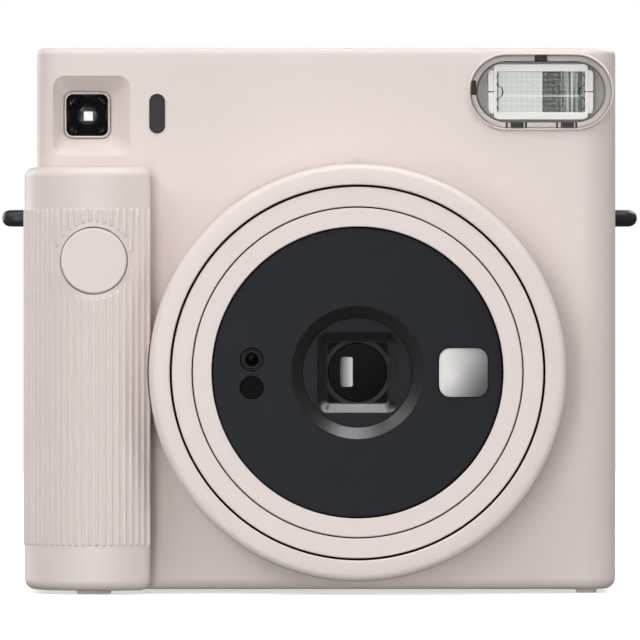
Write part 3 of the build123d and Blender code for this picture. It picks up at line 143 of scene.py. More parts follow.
def moulded(name, colour, rough=0.45, grain=0.28, depth=0.004, patch=0.02, edge_wear_and_highlight=1.04, specular=0.5):
    """Moulded plastic: a fine grain, a faint mottle, slow colour drift and slightly polished edges, lightened
    partly as wear and partly as a painted highlight.
    """
    p = Paint(name)
    drift = p.noise(22.0, 3.0, 0.55)
    mottle = p.noise(1.6, 4.0, 0.6)
    base = p.blend(p.span(drift, 0.3, 0.7), tint(colour, 1.0 - patch), tint(colour, 1.0 + patch))
    base = p.blend(p.span(mottle, 0.35, 0.75, 0.0, 0.35), base, tint(colour, 1.0 - 1.6 * patch))
    edge, rounded = p.edge(0.22)
    # Lighter edges: partly wear, partly painted highlight.
    worn_and_highlit_edge = p.maths("MULTIPLY", edge, p.span(p.noise(2.5, 3.0), 0.35, 0.7, 0.15, 0.8))
    base = p.blend(worn_and_highlit_edge, base, tint(colour, edge_wear_and_highlight))
    rub = p.span(p.noise(9.0, 4.0, 0.65), 0.3, 0.75, rough * 0.9, rough * 1.14)
    rub = p.maths("SUBTRACT", rub, p.maths("MULTIPLY", edge, rough * 0.18))
    fine = p.maths("ADD", p.noise(grain, 3.0, 0.65), p.maths("MULTIPLY", p.spots(grain * 1.7), -0.5))
    normal = p.bump(fine, depth, rounded)
    p.set(Base_Color=base, Roughness=rub, Normal=normal, Specular_IOR_Level=specular)
    return p.mat


def metal(name, colour, rough=0.3, brush=(1.0, 1.0, 14.0), depth=0.002):
    """Bright or brushed metal, with fine scratches along one direction and faint tarnish."""
    p = Paint(name)
    lines = p.noise(0.35, 4.0, 0.7, p.scaled(*brush))
    tarnish = p.noise(4.0, 4.0, 0.6)
    base = p.blend(p.span(tarnish, 0.35, 0.75), colour, tint(colour, 0.82))
    edge, rounded = p.edge(0.12)
    base = p.blend(p.maths("MULTIPLY", edge, 0.5), base, tint(colour, 1.15))
    p.set(Base_Color=base, Roughness=p.span(lines, 0.3, 0.75, rough * 0.8, rough * 1.3))
    p.set(Metallic=1.0, Normal=p.bump(lines, depth, rounded))
    return p.mat


def clear(name, colour, rough=0.02, strength=0.9, ior=1.49, ripple=0.0):
    """A thin clear moulding that shows what is behind it, with a Fresnel reflection and faint ripples."""
    p = Paint(name)
    wave = p.bump(p.noise(3.0, 2.0), 0.002 + ripple)
    smear = p.span(p.noise(5.0, 4.0, 0.6), 0.35, 0.8, rough, rough + 0.05)
    tintnode = p.blend(p.span(p.noise(12.0, 2.0), 0.3, 0.7), colour, tint(colour, 0.965))
    through = p.add("ShaderNodeBsdfTransparent", {"Color": tintnode})
    gloss = p.add("ShaderNodeBsdfGlossy", {"Color": (1, 1, 1, 1), "Roughness": smear, "Normal": wave})
    fresnel = p.add("ShaderNodeFresnel", {"IOR": ior, "Normal": wave}).outputs[0]
    outside = p.maths("SUBTRACT", 1.0, p.add("ShaderNodeNewGeometry").outputs["Backfacing"])
    share = p.maths("MULTIPLY", p.maths("MULTIPLY", fresnel, outside), strength)
    mix = p.add("ShaderNodeMixShader", {"Fac": share})
    p.put(mix.inputs[1], through.outputs[0])
    p.put(mix.inputs[2], gloss.outputs[0])
    p.put(p.out.inputs["Surface"], mix.outputs[0])
    p.tree.nodes.remove(p.shader)
    return p.mat


WARM_WHITE = srgb(221, 209, 203.5)
SHELL = moulded("shell_plastic", WARM_WHITE, rough=0.50, grain=0.30, depth=0.0050, patch=0.012)
GRIP = moulded("grip_plastic", srgb(223, 211, 205.5), rough=0.48, grain=0.30, depth=0.0045, patch=0.012)
RING = moulded("ring_plastic", srgb(225, 213, 208), rough=0.42, grain=0.26, depth=0.0035, patch=0.010)
BARREL = moulded("barrel_plastic", srgb(226, 214, 209), rough=0.40, grain=0.26, depth=0.0030, patch=0.010)
BUTTON = moulded("button_plastic", srgb(222, 210, 204.5), rough=0.40, grain=0.24, depth=0.0030, patch=0.010)
PANEL = moulded(
    "panel_plastic", srgb(30, 32, 38),
    rough=0.42, grain=0.22, depth=0.0045, patch=0.05, edge_wear_and_highlight=1.35, specular=0.17,
)
HOOD = moulded(
    "hood_plastic", srgb(29, 31, 36),
    rough=0.42, grain=0.20, depth=0.0060, patch=0.05, edge_wear_and_highlight=1.4, specular=0.17,
)
CONE = moulded(
    "cone_plastic", srgb(33, 32, 32),
    rough=0.36, grain=0.24, depth=0.0080, patch=0.05, edge_wear_and_highlight=1.2, specular=1.0,
)
FUNNEL = moulded(
    "funnel_plastic", srgb(26, 27, 28),
    rough=0.34, grain=0.22, depth=0.0160, patch=0.06, edge_wear_and_highlight=1.3, specular=1.0,
)
BLACK = moulded(
    "black_plastic", srgb(24, 24, 26),
    rough=0.50, grain=0.26, depth=0.0050, patch=0.08, edge_wear_and_highlight=1.6, specular=0.35,
)
SENSOR = moulded(
    "sensor_black", srgb(6, 6, 7),
    rough=0.22, grain=0.3, depth=0.001, patch=0.1, edge_wear_and_highlight=1.5, specular=0.10,
)
BLACK_SATIN = moulded(
    "black_satin", srgb(42, 44, 50),
    rough=0.44, grain=0.30, depth=0.0030, patch=0.08, edge_wear_and_highlight=1.5,
)
DARK_MATT = moulded(
    "dark_matt", srgb(13, 13, 14),
    rough=0.85, grain=0.5, depth=0.02, patch=0.15, edge_wear_and_highlight=1.2, specular=0.2,
)
SMOKED = moulded(
    "smoked_window", srgb(52, 50, 53),
    rough=0.30, grain=0.35, depth=0.0030, patch=0.08, edge_wear_and_highlight=1.2, specular=0.18,
)
WHITE_GLOSS = moulded(
    "white_gloss", srgb(250, 246, 243),
    rough=0.25, grain=0.6, depth=0.002, patch=0.02, edge_wear_and_highlight=1.02,
)
STEEL = metal("bright_steel", (0.56, 0.56, 0.57, 1.0))
ROLLER = metal("ground_roller", (0.46, 0.46, 0.47, 1.0), rough=0.38, brush=(1.0, 14.0, 14.0), depth=0.006)
ZINC = metal("zinc_plate", (0.62, 0.62, 0.63, 1.0), rough=0.42)
BRASS = metal("cut_brass", (0.72, 0.55, 0.26, 1.0), rough=0.28)
COPPER = metal("enamelled_copper", (0.50, 0.20, 0.09, 1.0), rough=0.3, brush=(40.0, 1.0, 1.0), depth=0.03)
NICKEL = metal("nickel_contact", (0.66, 0.64, 0.60, 1.0), rough=0.26)
BLACKENED = metal("blackened_steel", (0.05, 0.05, 0.052, 1.0), rough=0.5)
ACETAL = moulded("acetal", srgb(224, 222, 212), rough=0.34, grain=0.5, depth=0.002)
FOAM = moulded(
    "foam", srgb(26, 26, 28),
    rough=0.95, grain=0.5, depth=0.12, patch=0.3, edge_wear_and_highlight=1.0, specular=0.1,
)
FILM_BACK = moulded("print_backs", srgb(28, 28, 32), rough=0.3, grain=0.9, depth=0.002)
DIAL = moulded("dial", srgb(226, 222, 212), rough=0.42, grain=0.4, depth=0.002)
LAMP = moulded("lamp", srgb(226, 128, 52), rough=0.18, grain=0.8, depth=0.001)
CLEAR = clear("clear_window", (0.988, 0.992, 0.990, 1.0), strength=0.5)


def board_material():
    """Green circuit board with copper tracks under the mask."""
    p = Paint("circuit_board")
    tracks = {"Vector": p.scaled(900, 900, 900), "Scale": 0.35, "Mortar Size": 0.05}
    brick = p.add("ShaderNodeTexBrick", tracks)
    p.put(brick.inputs["Color1"], srgb(20, 84, 52))
    p.put(brick.inputs["Color2"], srgb(26, 96, 60))
    p.put(brick.inputs["Mortar"], srgb(62, 128, 78))
    base = p.blend(p.span(p.noise(2.0, 3.0), 0.4, 0.7), brick.outputs["Color"], srgb(16, 70, 44))
    p.set(Base_Color=base, Roughness=p.span(p.noise(1.2), 0.3, 0.7, 0.25, 0.4))
    p.set(Normal=p.bump(brick.outputs["Fac"], 0.03))
    return p.mat


def sleeve_material(name, low, high, split, dark, light):
    """A shrink sleeve with a coloured band at one end, along Z."""
    p = Paint(name)
    z = p.add("ShaderNodeSeparateXYZ", {"Vector": p.place}).outputs["Z"]
    seam = (low + (high - low) * split) * MM
    band = p.span(z, seam - 0.00005, seam + 0.00005)
    base = p.blend(band, dark, light)
    base = p.blend(p.span(p.noise(2.0, 3.0), 0.4, 0.8, 0.0, 0.3), base, tint(light, 0.7))
    p.set(Base_Color=base, Roughness=p.span(p.noise(3.0, 3.0), 0.3, 0.7, 0.18, 0.3))
    p.set(Normal=p.bump(p.noise(6.0, 2.0), 0.03))
    return p.mat


def mirror_material():
    """Silvered plastic with a painted reflection that darkens it towards the lower right, a faint waviness
    and haze.
    """
    p = Paint("mirror_face")
    haze = p.span(p.noise(2.5, 3.0, 0.6), 0.35, 0.75)
    place = p.add("ShaderNodeSeparateXYZ", {"Vector": p.place})
    painted_reflection_slant = p.maths("SUBTRACT", place.outputs["X"], place.outputs["Z"])
    tone = p.blend(haze, (0.63, 0.61, 0.605, 1), (0.59, 0.59, 0.58, 1))
    # Painted reflection: the silvering is darkened towards the lower right.
    tone = p.blend(p.span(painted_reflection_slant, -0.0185, -0.0095), tone, (0.27, 0.275, 0.28, 1))
    p.set(Base_Color=tone, Roughness=p.span(p.noise(4.0, 3.0), 0.3, 0.7, 0.44, 0.50))
    p.set(Metallic=1.0, Normal=p.bump(p.noise(5.0, 2.0), 0.0004))
    return p.mat


def lens_material():
    """Coated glass over the dark inside of the lens: near black, with soft reflections and a little dust."""
    p = Paint("coated_glass")
    dust = p.span(p.noise(0.3, 3.0, 0.7), 0.66, 0.80, 0.0, 0.5)
    tone = p.blend(p.noise(3.0), srgb(6, 6, 9), srgb(11, 10, 14))
    p.set(Base_Color=p.blend(dust, tone, srgb(24, 24, 26)))
    p.set(Roughness=p.span(p.noise(2.0, 3.0), 0.4, 0.8, 0.03, 0.07))
    p.set(Specular_IOR_Level=1.0, Normal=p.bump(p.noise(6.0), 0.0002))
    return p.mat


def finder_material():
    """Moulded optical glass that bends what is seen through it."""
    p = Paint("finder_glass")
    tone = p.blend(p.noise(6.0), (0.97, 0.98, 1.0, 1), (0.94, 0.96, 0.99, 1))
    p.set(Base_Color=tone, Roughness=p.span(p.noise(3.0, 3.0), 0.4, 0.8, 0.0, 0.01))
    p.set(Normal=p.bump(p.noise(8.0), 0.0001))
    p.set(Transmission_Weight=1.0, IOR=1.49)
    return p.mat


FINISHES = {
    SHELL: "front_cover rear_cover film_door battery_door base_feet",
    GRIP: "grip_cover",
    RING: "control_ring",
    BARREL: "outer_barrel inner_barrel",
    BUTTON: "shutter_button",
    PANEL: "lens_panel",
    HOOD: "lens_bezel",
    BLACK: "lens_mount film_chamber exit_slot_frame exit_flap pressure_pads battery_box "
    "counter_bracket film_pack eyepiece_bezel door_latch",
    SENSOR: "light_sensors",
    BLACK_SATIN: "strap_lugs",
    DARK_MATT: "dark_box lens_cell finder_tube",
    BLACKENED: "shutter_plates shutter_blade_left shutter_blade_right",
    SMOKED: "light_meter_window film_window",
    WHITE_GLOSS: "flash_holder",
    STEEL: "case_screws door_hinge_pins roller_bracket film_claw button_spring pad_springs flash_reflector",
    ROLLER: "front_roller rear_roller",
    ZINC: "drive_motor",
    BRASS: "motor_pinion",
    COPPER: "shutter_magnet",
    NICKEL: "battery_contacts",
    ACETAL: "idler_gear",
    FOAM: "door_seal",
    FILM_BACK: "film_sheets",
    DIAL: "counter_dial",
    LAMP: "charge_lamp",
    CLEAR: "flash_window counter_window flash_tube",
    finder_material(): "finder_lenses",
    board_material(): "circuit_boards",
    sleeve_material(
        "capacitor_sleeve", 34, 70, 0.9, srgb(34, 36, 44), srgb(190, 190, 188)
    ): "flash_capacitor",
    sleeve_material("cell_sleeve", 10, 65, 0.5, srgb(60, 64, 72), srgb(196, 190, 176)): "battery_cells",
    mirror_material(): "selfie_mirror",
    lens_material(): "taking_lens",
}


def smoothing_group():
    """Joins the faces of a CAD mesh along their shared edges, and shades it smooth except at real edges."""
    group = bpy.data.node_groups.new("smooth_by_angle", "GeometryNodeTree")
    group.interface.new_socket("Geometry", in_out="INPUT", socket_type="NodeSocketGeometry")
    group.interface.new_socket("Geometry", in_out="OUTPUT", socket_type="NodeSocketGeometry")
    add = group.nodes.new
    start, end = add("NodeGroupInput"), add("NodeGroupOutput")
    plain = add("GeometryNodeRemoveAttribute")
    plain.inputs["Name"].default_value = "custom_normal"
    merge = add("GeometryNodeMergeByDistance")
    merge.inputs["Distance"].default_value = 2e-6
    faces, edges = add("GeometryNodeSetShadeSmooth"), add("GeometryNodeSetShadeSmooth")
    edges.domain = "EDGE"
    angle = add("GeometryNodeInputMeshEdgeAngle")
    small = add("FunctionNodeCompare")
    small.operation = "LESS_THAN"
    small.inputs["B"].default_value = SHARP
    link = group.links.new
    link(start.outputs[0], plain.inputs[0])
    link(plain.outputs[0], merge.inputs[0])
    link(merge.outputs[0], faces.inputs[0])
    link(faces.outputs[0], edges.inputs[0])
    link(angle.outputs["Unsigned Angle"], small.inputs["A"])
    link(small.outputs[0], edges.inputs["Shade Smooth"])
    link(edges.outputs[0], end.inputs[0])
    return group


SMOOTH = smoothing_group()


def soften(obj):
    """Smooth shading that keeps flat faces flat, as modifiers only."""
    obj.modifiers.new("smooth", "NODES").node_group = SMOOTH
    weighted = obj.modifiers.new("weighted", "WEIGHTED_NORMAL")
    weighted.keep_sharp = True
    weighted.weight = 80


for material, names in FINISHES.items():
    for name in names.split():
        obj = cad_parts[name]
        obj.data.materials.clear()
        obj.data.materials.append(material)
        soften(obj)


# ---------------------------------------------------------------- extra pieces


def round_rect(x, z, width, height, radius, steps=10):
    """A closed outline of (x, z) points in mm, anticlockwise."""
    points = []
    for cx, cz, start in ((1, 1, 0), (-1, 1, 90), (-1, -1, 180), (1, -1, 270)):
        for k in range(steps + 1):
            a = math.radians(start + 90.0 * k / steps)
            px = x + cx * (width / 2 - radius) + radius * math.cos(a)
            pz = z + cz * (height / 2 - radius) + radius * math.sin(a)
            points.append((px, pz))
    return points


def finish_piece(name, mesh, material, body, bevel=0.0, segments=2):
    """Links a mesh as a piece that rides a body, with rounded edges."""
    mesh.materials.append(material)
    mesh.polygons.foreach_set("use_smooth", [True] * len(mesh.polygons))
    mesh.set_sharp_from_angle(angle=SHARP)
    obj = bpy.data.objects.new(name, mesh)
    bpy.context.scene.collection.objects.link(obj)
    if bevel:
        mod = obj.modifiers.new("round", "BEVEL")
        mod.width, mod.segments = bevel * MM, segments
        mod.limit_method, mod.angle_limit = "ANGLE", math.radians(40)
        mod.harden_normals = True
    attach(obj, body)
    return obj


def mesh_of(name, bm):
    bmesh.ops.recalc_face_normals(bm, faces=bm.faces)
    mesh = bpy.data.meshes.new(name)
    bm.to_mesh(mesh)
    bm.free()
    return mesh


def add_ring(bm, outer, inner, y0, y1):
    """A frame between two outlines with equally many points, from y0 to y1 in mm."""
    loops = []
    for line in (outer, inner):
        for y in (y0, y1):
            loops.append([bm.verts.new((x * MM, y * MM, z * MM)) for x, z in line])
    outer0, outer1, inner0, inner1 = loops
    count = len(outer)
    for i in range(count):
        j = (i + 1) % count
        bm.faces.new((outer0[i], outer0[j], inner0[j], inner0[i]))
        bm.faces.new((outer1[i], inner1[i], inner1[j], outer1[j]))
        bm.faces.new((outer0[i], outer1[i], outer1[j], outer0[j]))
        bm.faces.new((inner0[i], inner0[j], inner1[j], inner1[i]))


def add_slab(bm, outline, y0, y1):
    """A plate with the given outline, from y0 to y1 in mm."""
    front = [bm.verts.new((x * MM, y0 * MM, z * MM)) for x, z in outline]
    back = [bm.verts.new((x * MM, y1 * MM, z * MM)) for x, z in outline]
    bm.faces.new(front)
    bm.faces.new(back[::-1])
    for i in range(len(outline)):
        j = (i + 1) % len(outline)
        bm.faces.new((front[i], back[i], back[j], front[j]))


def frame_piece(name, x, z, width, height, radius, wall, y0, y1, material, bevel):
    """A thin rounded frame riding on the camera."""
    bm = bmesh.new()
    outer = round_rect(x, z, width, height, radius)
    inner = round_rect(x, z, width - 2 * wall, height - 2 * wall, radius - wall)
    add_ring(bm, outer, inner, y0, y1)
    return finish_piece(name, mesh_of(name, bm), material, "camera", bevel)


# Thin lips where the shell meets the meter window and the viewfinder's front lens.
frame_piece("meter_lip", METER_X, METER_Z, 3.95, 9.2, 1.97, 0.24, -13.62, -13.2, SHELL, 0.08)

frame_piece("finder_lip", FINDER_X, FINDER_Z, 9.9, 9.9, 1.85, 0.36, -9.32, -9.22, SHELL, 0.02)

# Thin skins over the cone round the lens and over the walls of the square funnel.

def add_funnel(bm, mouth, throat, y0, y1, skin):
    """A thin sloping band from a wide outline at y0 to a narrow one at y1, both with equally many points."""
    loops = []
    for line, y in ((mouth, y0), (throat, y1), (throat, y1 + skin), (mouth, y0 + skin)):
        loops.append([bm.verts.new((x * MM, y * MM, z * MM)) for x, z in line])
    count = len(mouth)
    for a, b in zip(loops, loops[1:] + loops[:1]):
        for i in range(count):
            j = (i + 1) % count
            bm.faces.new((a[i], a[j], b[j], b[i]))


def circle(x, z, radius, count=96):
    angles = [2 * math.pi * k / count for k in range(count)]
    return [(x + radius * math.cos(a), z + radius * math.sin(a)) for a in angles]


cone = bmesh.new()
add_funnel(cone, circle(LENS_X, LENS_Z, 14.45, 192), circle(LENS_X, LENS_Z, 11.98, 192), -27.78, -25.70, 0.03)
finish_piece("lens_cone", mesh_of("lens_cone", cone), CONE, "inner_barrel")
funnel = bmesh.new()
mouth, throat = round_rect(LENS_X, LENS_Z, 17.5, 17.5, 2.2), round_rect(LENS_X, LENS_Z, 13.6, 13.6, 0.9)
add_funnel(funnel, mouth, throat, -25.63, -24.28, 0.02)
finish_piece("lens_funnel", mesh_of("lens_funnel", funnel), FUNNEL, "inner_barrel")

# The flash window's snap legs, seen through its clear flange in their notches, the wider ones each with three
# fine ribs.
FLASH_NOTCHES = (
    (48.4, 117.0, 2.7, 1.4), (33.7, 110.6, 1.0, 3.1), (43.2, 102.4, 2.8, 1.3), (40.95, 102.4, 0.4, 1.3),
    (45.15, 102.4, 0.4, 1.3), (54.2, 102.4, 2.8, 1.3), (51.95, 102.4, 0.4, 1.3), (56.15, 102.4, 0.4, 1.3),
)
legs = bmesh.new()
for x, z, width, height in FLASH_NOTCHES:
    add_slab(legs, round_rect(x, z, width, height, 0.12, 3), -12.72, -11.7)
    if width > 1.5:
        for k in (-1, 0, 1):
            add_slab(legs, round_rect(x, z + k * height * 0.27, width * 0.8, 0.14, 0.05, 2), -12.8, -12.7)
LEG = moulded("snap_leg", srgb(62, 60, 60), rough=0.5, grain=0.3, depth=0.01, patch=0.2, edge_wear_and_highlight=1.5)
finish_piece("flash_legs", mesh_of("flash_legs", legs), LEG, "camera", 0.04, 1)

# The moulded step round the flash window's raised middle.
STEP = moulded("window_step", srgb(112, 128, 124), rough=0.2, grain=0.5, depth=0.001)
frame_piece(
    "flash_step", FLASH_X, FLASH_Z, 27.75, 12.95, 6.47, 0.16, -14.32, -14.12, STEP, 0.05
)


def diffuser_material():
    """A clear plate patterned in squares, with painted light: one half frosted white as a painted reflection,
    painted highlight streaks over the other, and a painted highlight line along the flash tube.
    """
    p = Paint("flash_diffuser")
    place = p.add("ShaderNodeSeparateXYZ", {"Vector": p.place})
    x = place.outputs["X"]
    # Painted reflection: the left half is frosted white and the right half is left nearly clear.
    half = p.span(x, 0.04865, 0.04880, 0.84, 0.12)
    # Painted highlight: bright vertical streaks near x = 54.8 mm.
    painted_highlight_streaks = p.span(p.noise(0.7, 2.0, 0.6, p.scaled(1.0, 1.0, 0.02)), 0.45, 0.70)
    off_painted_highlight = p.maths("ABSOLUTE", p.maths("SUBTRACT", x, 0.0548))
    near = p.maths("SUBTRACT", 1.0, p.span(off_painted_highlight, 0.0006, 0.0022))
    white = p.maths("ADD", half, p.maths("MULTIPLY", p.maths("MULTIPLY", painted_highlight_streaks, near), 0.75))
    for axis, pitch in (("X", 1.15), ("Z", 1.05)):
        wave = p.maths("FRACT", p.maths("MULTIPLY", place.outputs[axis], 1000.0 / pitch))
        line = p.span(p.maths("ABSOLUTE", p.maths("SUBTRACT", wave, 0.5)), 0.40, 0.49)
        white = p.maths("ADD", white, p.maths("MULTIPLY", line, 0.16))
    white = p.maths("ADD", white, p.span(p.noise(0.5, 3.0, 0.7), 0.4, 0.7, -0.07, 0.07))
    # Painted highlight: a pale line along the flash tube at z = 108.8 mm.
    off_painted_tube_highlight = p.maths("ABSOLUTE", p.maths("SUBTRACT", place.outputs["Z"], 0.1088))
    white = p.maths("ADD", white, p.span(off_painted_tube_highlight, 0.00010, 0.00028, 0.45, 0.0))
    p.set(Base_Color=p.blend(p.noise(2.0), srgb(226, 232, 226), srgb(240, 242, 238)))
    p.set(Roughness=0.4, Normal=p.bump(p.noise(0.6, 3.0), 0.01))
    through = p.add("ShaderNodeBsdfTransparent", {"Color": (0.98, 0.99, 0.985, 1.0)})
    mix = p.add("ShaderNodeMixShader", {"Fac": p.span(white, 0.0, 1.0)})
    p.put(mix.inputs[1], through.outputs[0])
    p.put(mix.inputs[2], p.shader.outputs[0])
    p.put(p.out.inputs["Surface"], mix.outputs[0])
    return p.mat


diffuser = bmesh.new()
add_slab(diffuser, round_rect(FLASH_X, FLASH_Z, 20.1, 9.2, 0.1, 2), -12.5, -12.42)
plate = mesh_of("flash_diffuser", diffuser)
finish_piece("flash_diffuser", plate, diffuser_material(), "camera")


# The line of the flash window's joint, and the dark cut-outs at the reflector's two ends.
JOINT = moulded("window_joint", srgb(92, 86, 84), rough=0.6, grain=0.4, depth=0.002)
frame_piece(
    "flash_joint", FLASH_X, FLASH_Z, 30.75, 15.75, 7.87, 0.13, -14.19, -14.1, JOINT, 0.03
)
ends = bmesh.new()
for side in (-1, 1):
    line = []
    for k in range(25):
        z = -3.9 + 7.8 * k / 24
        inward = 0.45 * math.cos(z * 1.25) + (0.55 if abs(z) < 1.0 else 0.0)
        line.append((FLASH_X + side * (9.2 - inward), FLASH_Z + z))
    outline = line + [(x + side * 0.26, z) for x, z in reversed(line)]
    add_slab(ends, outline, -12.56, -12.5)
finish_piece("flash_ends", mesh_of("flash_ends", ends), BLACK, "camera")

# The bright frame over the reflector's mouth, and a grey sheet at both ends of the window as painted shade in
# the hollows there.
band = bmesh.new()
outer, inner = round_rect(FLASH_X, FLASH_Z, 20.6, 12.1, 0.8), round_rect(FLASH_X, FLASH_Z, 20.0, 8.9, 0.1)
add_ring(band, outer, inner, -12.74, -12.58)
finish_piece("flash_frame", mesh_of("flash_frame", band), WHITE_GLOSS, "camera", 0.05)
# Painted shade: a grey sheet in the hollows at both ends of the window.
PAINTED_HOLLOW_SHADE = moulded("flash_hollow_shade", srgb(188, 186, 180), rough=0.5, grain=0.5, depth=0.004)
hollow = bmesh.new()
outer, inner = round_rect(FLASH_X, FLASH_Z, 28.0, 13.0, 6.49), round_rect(FLASH_X, FLASH_Z, 23.1, 9.7, 0.9)
add_ring(hollow, outer, inner, -10.5, -10.42)
finish_piece("flash_hollow_shade", mesh_of("flash_hollow_shade", hollow), PAINTED_HOLLOW_SHADE, "camera")

# Near-black rings in the gaps round the two barrels and round the lens panel, as painted shade in the gaps.
GAP_SHADE = moulded(
    "gap_shade_black", srgb(9, 9, 10),
    rough=0.95, grain=0.18, depth=0.03, patch=0.3, edge_wear_and_highlight=1.0, specular=0.1,
)
# Painted shade: each ring darkens its gap.
for name, outer, inner, y, body in (
    ("ring_gap_shade", 40.79, 40.32, -27.95, "control_ring"),
    ("barrel_gap_shade", 36.05, 35.76, -28.0, "outer_barrel"),
    ("panel_gap_shade", 31.69, 31.34, -27.75, "inner_barrel"),
):
    gap_ring = bmesh.new()
    add_ring(gap_ring, circle(LENS_X, LENS_Z, outer, 160), circle(LENS_X, LENS_Z, inner, 160), y, y + 0.5)
    finish_piece(name, mesh_of(name, gap_ring), GAP_SHADE, body)

# The counter's numbers, printed round its dial and turning with it.
INK = moulded("dial_ink", srgb(30, 30, 34), rough=0.5, grain=0.5, depth=0.001, patch=0.1, edge_wear_and_highlight=1.0)
DIAL_X, DIAL_Z, NUMBER_R = -48.6, 26.0, 6.0
numbers = bmesh.new()
for count in range(11):
    text = bpy.data.curves.new("digits", "FONT")
    text.body, text.size, text.extrude = str(count), 3.0 * MM, 0.015 * MM
    text.align_x, text.align_y = "CENTER", "CENTER"
    holder = bpy.data.objects.new("digits", text)
    bpy.context.scene.collection.objects.link(holder)
    bpy.context.view_layer.update()
    shape = bpy.data.meshes.new_from_object(holder)
    bpy.data.objects.remove(holder)
    turn = Matrix.Rotation(math.radians(-30.0 * count), 4, "Y")
    lift = Matrix.Translation((0.0, 0.0, NUMBER_R * MM))
    stand = Matrix.Rotation(math.radians(90), 4, "X") @ Matrix.Rotation(math.radians(180), 4, "Y")
    shape.transform(Matrix.Translation((DIAL_X * MM, 24.615 * MM, DIAL_Z * MM)) @ turn @ lift @ stand)
    numbers.from_mesh(shape)
finish_piece("counter_numbers", mesh_of("counter_numbers", numbers), INK, "counter_dial")

# The stepped collar of the upper light sensor.
collar = bmesh.new()
for outer, inner, y in ((2.35, 2.1, -26.6), (1.9, 1.62, -26.95)):
    rim, bore = (circle(UPPER_SENSOR_X, UPPER_SENSOR_Z, radius, 48) for radius in (outer, inner))
    add_ring(collar, rim, bore, y, y + 0.5)
finish_piece("sensor_collar", mesh_of("sensor_collar", collar), BLACK_SATIN, "inner_barrel", 0.05)

# The ring that holds the front glass, with fine grooves, and the thin dark seat round the mirror.
retainer = bmesh.new()
for k in range(5):
    radius = 7.4 - 0.2 * k
    outer, inner = circle(LENS_X, LENS_Z, radius), circle(LENS_X, LENS_Z, radius - 0.12)
    add_ring(retainer, outer, inner, -24.32 + 0.04 * k, -24.1)
seating = mesh_of("lens_retainer", retainer)
finish_piece("lens_retainer", seating, BLACK_SATIN, "inner_barrel")
seat = bmesh.new()
outer, inner = round_rect(MIRROR_X, LENS_Z, 11.0, 11.0, 2.62), round_rect(MIRROR_X, LENS_Z, 10.6, 10.6, 2.42)
add_ring(seat, outer, inner, -27.72, -27.2)
finish_piece("mirror_seat", mesh_of("mirror_seat", seat), DARK_MATT, "inner_barrel")


# ---------------------------------------------------------------- stage, light and camera


def area_light(name, place, aim, size, power, colour=(1, 1, 1)):
    data = bpy.data.lights.new(name, "AREA")
    data.shape = "RECTANGLE"
    data.size, data.size_y = size
    data.energy = power
    data.color = colour
    obj = bpy.data.objects.new(name, data)
    obj.location = place
    obj.rotation_euler = (Vector(aim) - Vector(place)).to_track_quat("-Z", "Y").to_euler()
    bpy.context.scene.collection.objects.link(obj)
    return obj


def softbox(name, place, size, strength):
    """A glowing card with round corners, brighter towards its left, facing the object."""
    p = Paint(name)
    across = p.add("ShaderNodeSeparateXYZ", {"Vector": p.place}).outputs["X"]
    fall = p.span(across, -size[0] / 2, size[0] / 2, strength * 1.85, strength * 0.15)
    glow = p.add("ShaderNodeEmission", {"Color": (1.0, 1.0, 1.0, 1.0), "Strength": fall})
    p.put(p.out.inputs["Surface"], glow.outputs[0])
    p.tree.nodes.remove(p.shader)
    points = [(x, z, 0.0) for x, z in round_rect(0.0, 0.0, size[0], size[1], 0.07)]
    mesh = bpy.data.meshes.new(name)
    mesh.from_pydata(points, [], [tuple(range(len(points)))])
    mesh.materials.append(p.mat)
    card = bpy.data.objects.new(name, mesh)
    card.location = place
    card.rotation_euler = (Vector((0.0, 0.0, 0.06)) - Vector(place)).to_track_quat("Z", "Y").to_euler()
    bpy.context.scene.collection.objects.link(card)
    card.visible_camera = False
    return card


FLOOR_R = 1.6


def stage_floor():
    """A round sheet of pale paper, which throws no light back on the object."""
    p = Paint("floor_paper")
    grain = p.noise(0.8, 3.0)
    p.set(Base_Color=p.blend(grain, (0.93, 0.93, 0.93, 1), (0.90, 0.90, 0.90, 1)))
    p.set(Roughness=0.9, Normal=p.bump(grain, 0.02))
    p.set(Specular_IOR_Level=0.1, Emission_Color=(1.0, 1.0, 1.0, 1.0), Emission_Strength=0.5)
    mesh = bpy.data.meshes.new("floor")
    angles = [math.radians(5 * i) for i in range(72)]
    points = [(FLOOR_R * math.cos(a), FLOOR_R * math.sin(a), 0.0) for a in angles]
    mesh.from_pydata(points, [], [tuple(range(len(points)))])
    mesh.materials.append(p.mat)
    floor = bpy.data.objects.new("floor", mesh)
    bpy.context.scene.collection.objects.link(floor)
    floor.visible_diffuse = False
    floor.visible_glossy = False


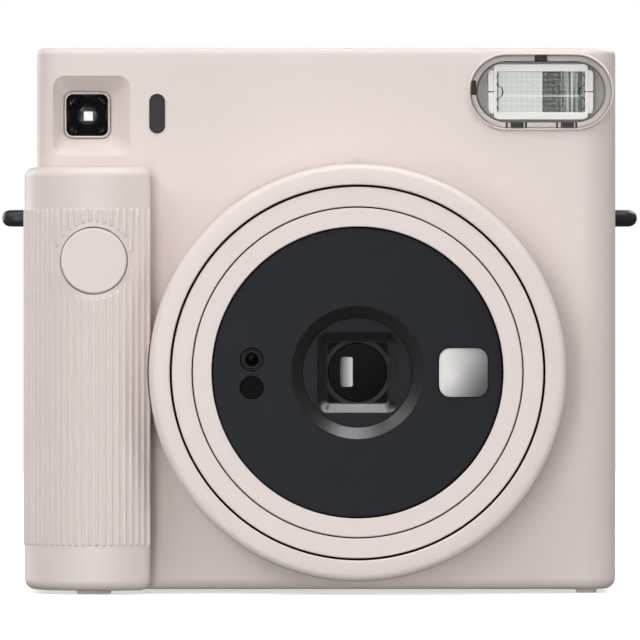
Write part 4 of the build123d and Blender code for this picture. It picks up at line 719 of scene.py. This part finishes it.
def studio_world():
    """A pale studio: the camera sees white, and the object is lit more softly, from the upper left."""
    world = bpy.data.worlds.new("studio")
    bpy.context.scene.world = world
    world.use_nodes = True
    tree = world.node_tree
    add, link = tree.nodes.new, tree.links.new
    background = tree.nodes["Background"]
    place = add("ShaderNodeTexCoord")
    towards = add("ShaderNodeVectorMath")
    towards.operation = "DOT_PRODUCT"
    towards.inputs[1].default_value = Vector((-0.62, -0.25, 0.74))
    link(place.outputs["Generated"], towards.inputs[0])
    ramp = add("ShaderNodeMapRange")
    ramp.inputs["From Min"].default_value = -0.7
    ramp.inputs["From Max"].default_value = 0.9
    ramp.inputs["To Min"].default_value = 0.22
    ramp.inputs["To Max"].default_value = 0.46
    link(towards.outputs["Value"], ramp.inputs["Value"])
    path = add("ShaderNodeLightPath")
    seen = add("ShaderNodeMath")
    seen.operation = "MAXIMUM"
    dim = add("ShaderNodeMath")
    dim.operation = "MULTIPLY_ADD"
    dim.inputs[1].default_value = -0.75
    dim.inputs[2].default_value = 1.0
    link(path.outputs["Is Glossy Ray"], dim.inputs[0])
    level = add("ShaderNodeMath")
    level.operation = "MULTIPLY"
    link(ramp.outputs[0], level.inputs[0])
    link(dim.outputs[0], level.inputs[1])
    link(path.outputs["Is Camera Ray"], seen.inputs[0])
    link(path.outputs["Is Transmission Ray"], seen.inputs[1])
    mix = add("ShaderNodeMix")
    link(seen.outputs[0], mix.inputs[0])
    link(level.outputs[0], mix.inputs[2])
    mix.inputs[3].default_value = 1.0
    link(mix.outputs[0], background.inputs["Strength"])
    background.inputs["Color"].default_value = (1.0, 1.0, 1.0, 1.0)


stage_floor()
studio_world()
CENTRE = (0.0, 0.0, 0.06)
area_light("key", (-1.00, -0.82, 1.15), CENTRE, (0.80, 0.80), 7.8, (1.0, 0.99, 0.98))
area_light("top", (0.05, -0.30, 1.05), CENTRE, (0.80, 0.55), 4.7)
softbox("front_softbox", (-0.31, -1.05, 0.06), (0.37, 0.90), 4.1)
softbox("top_card", (-0.05, -0.38, 1.02), (0.60, 0.34), 4.0).visible_diffuse = False
area_light("right_fill", (0.95, -0.70, 0.15), CENTRE, (0.35, 0.80), 4.6).visible_glossy = False
area_light("low_fill", (-0.05, -1.20, 0.05), (0.0, 0.0, 0.03), (0.70, 0.08), 0.95).visible_glossy = False
area_light("rear_key", (0.75, 1.15, 1.10), CENTRE, (0.80, 0.80), 16.0)
area_light("rear_fill", (-0.95, 1.00, 0.25), CENTRE, (0.50, 0.80), 7.0)

camera = bpy.data.objects.new("camera", bpy.data.cameras.new("camera"))
bpy.context.scene.collection.objects.link(camera)
camera.location = (0.0001, -2.005, 0.0598)
camera.rotation_euler = (math.radians(90), 0, 0)
camera.data.lens = 36.0 * 2.0 / 0.1405
camera.data.clip_start, camera.data.clip_end = 0.05, 60.0
bpy.context.scene.camera = camera
bpy.context.scene.view_settings.view_transform = "Standard"
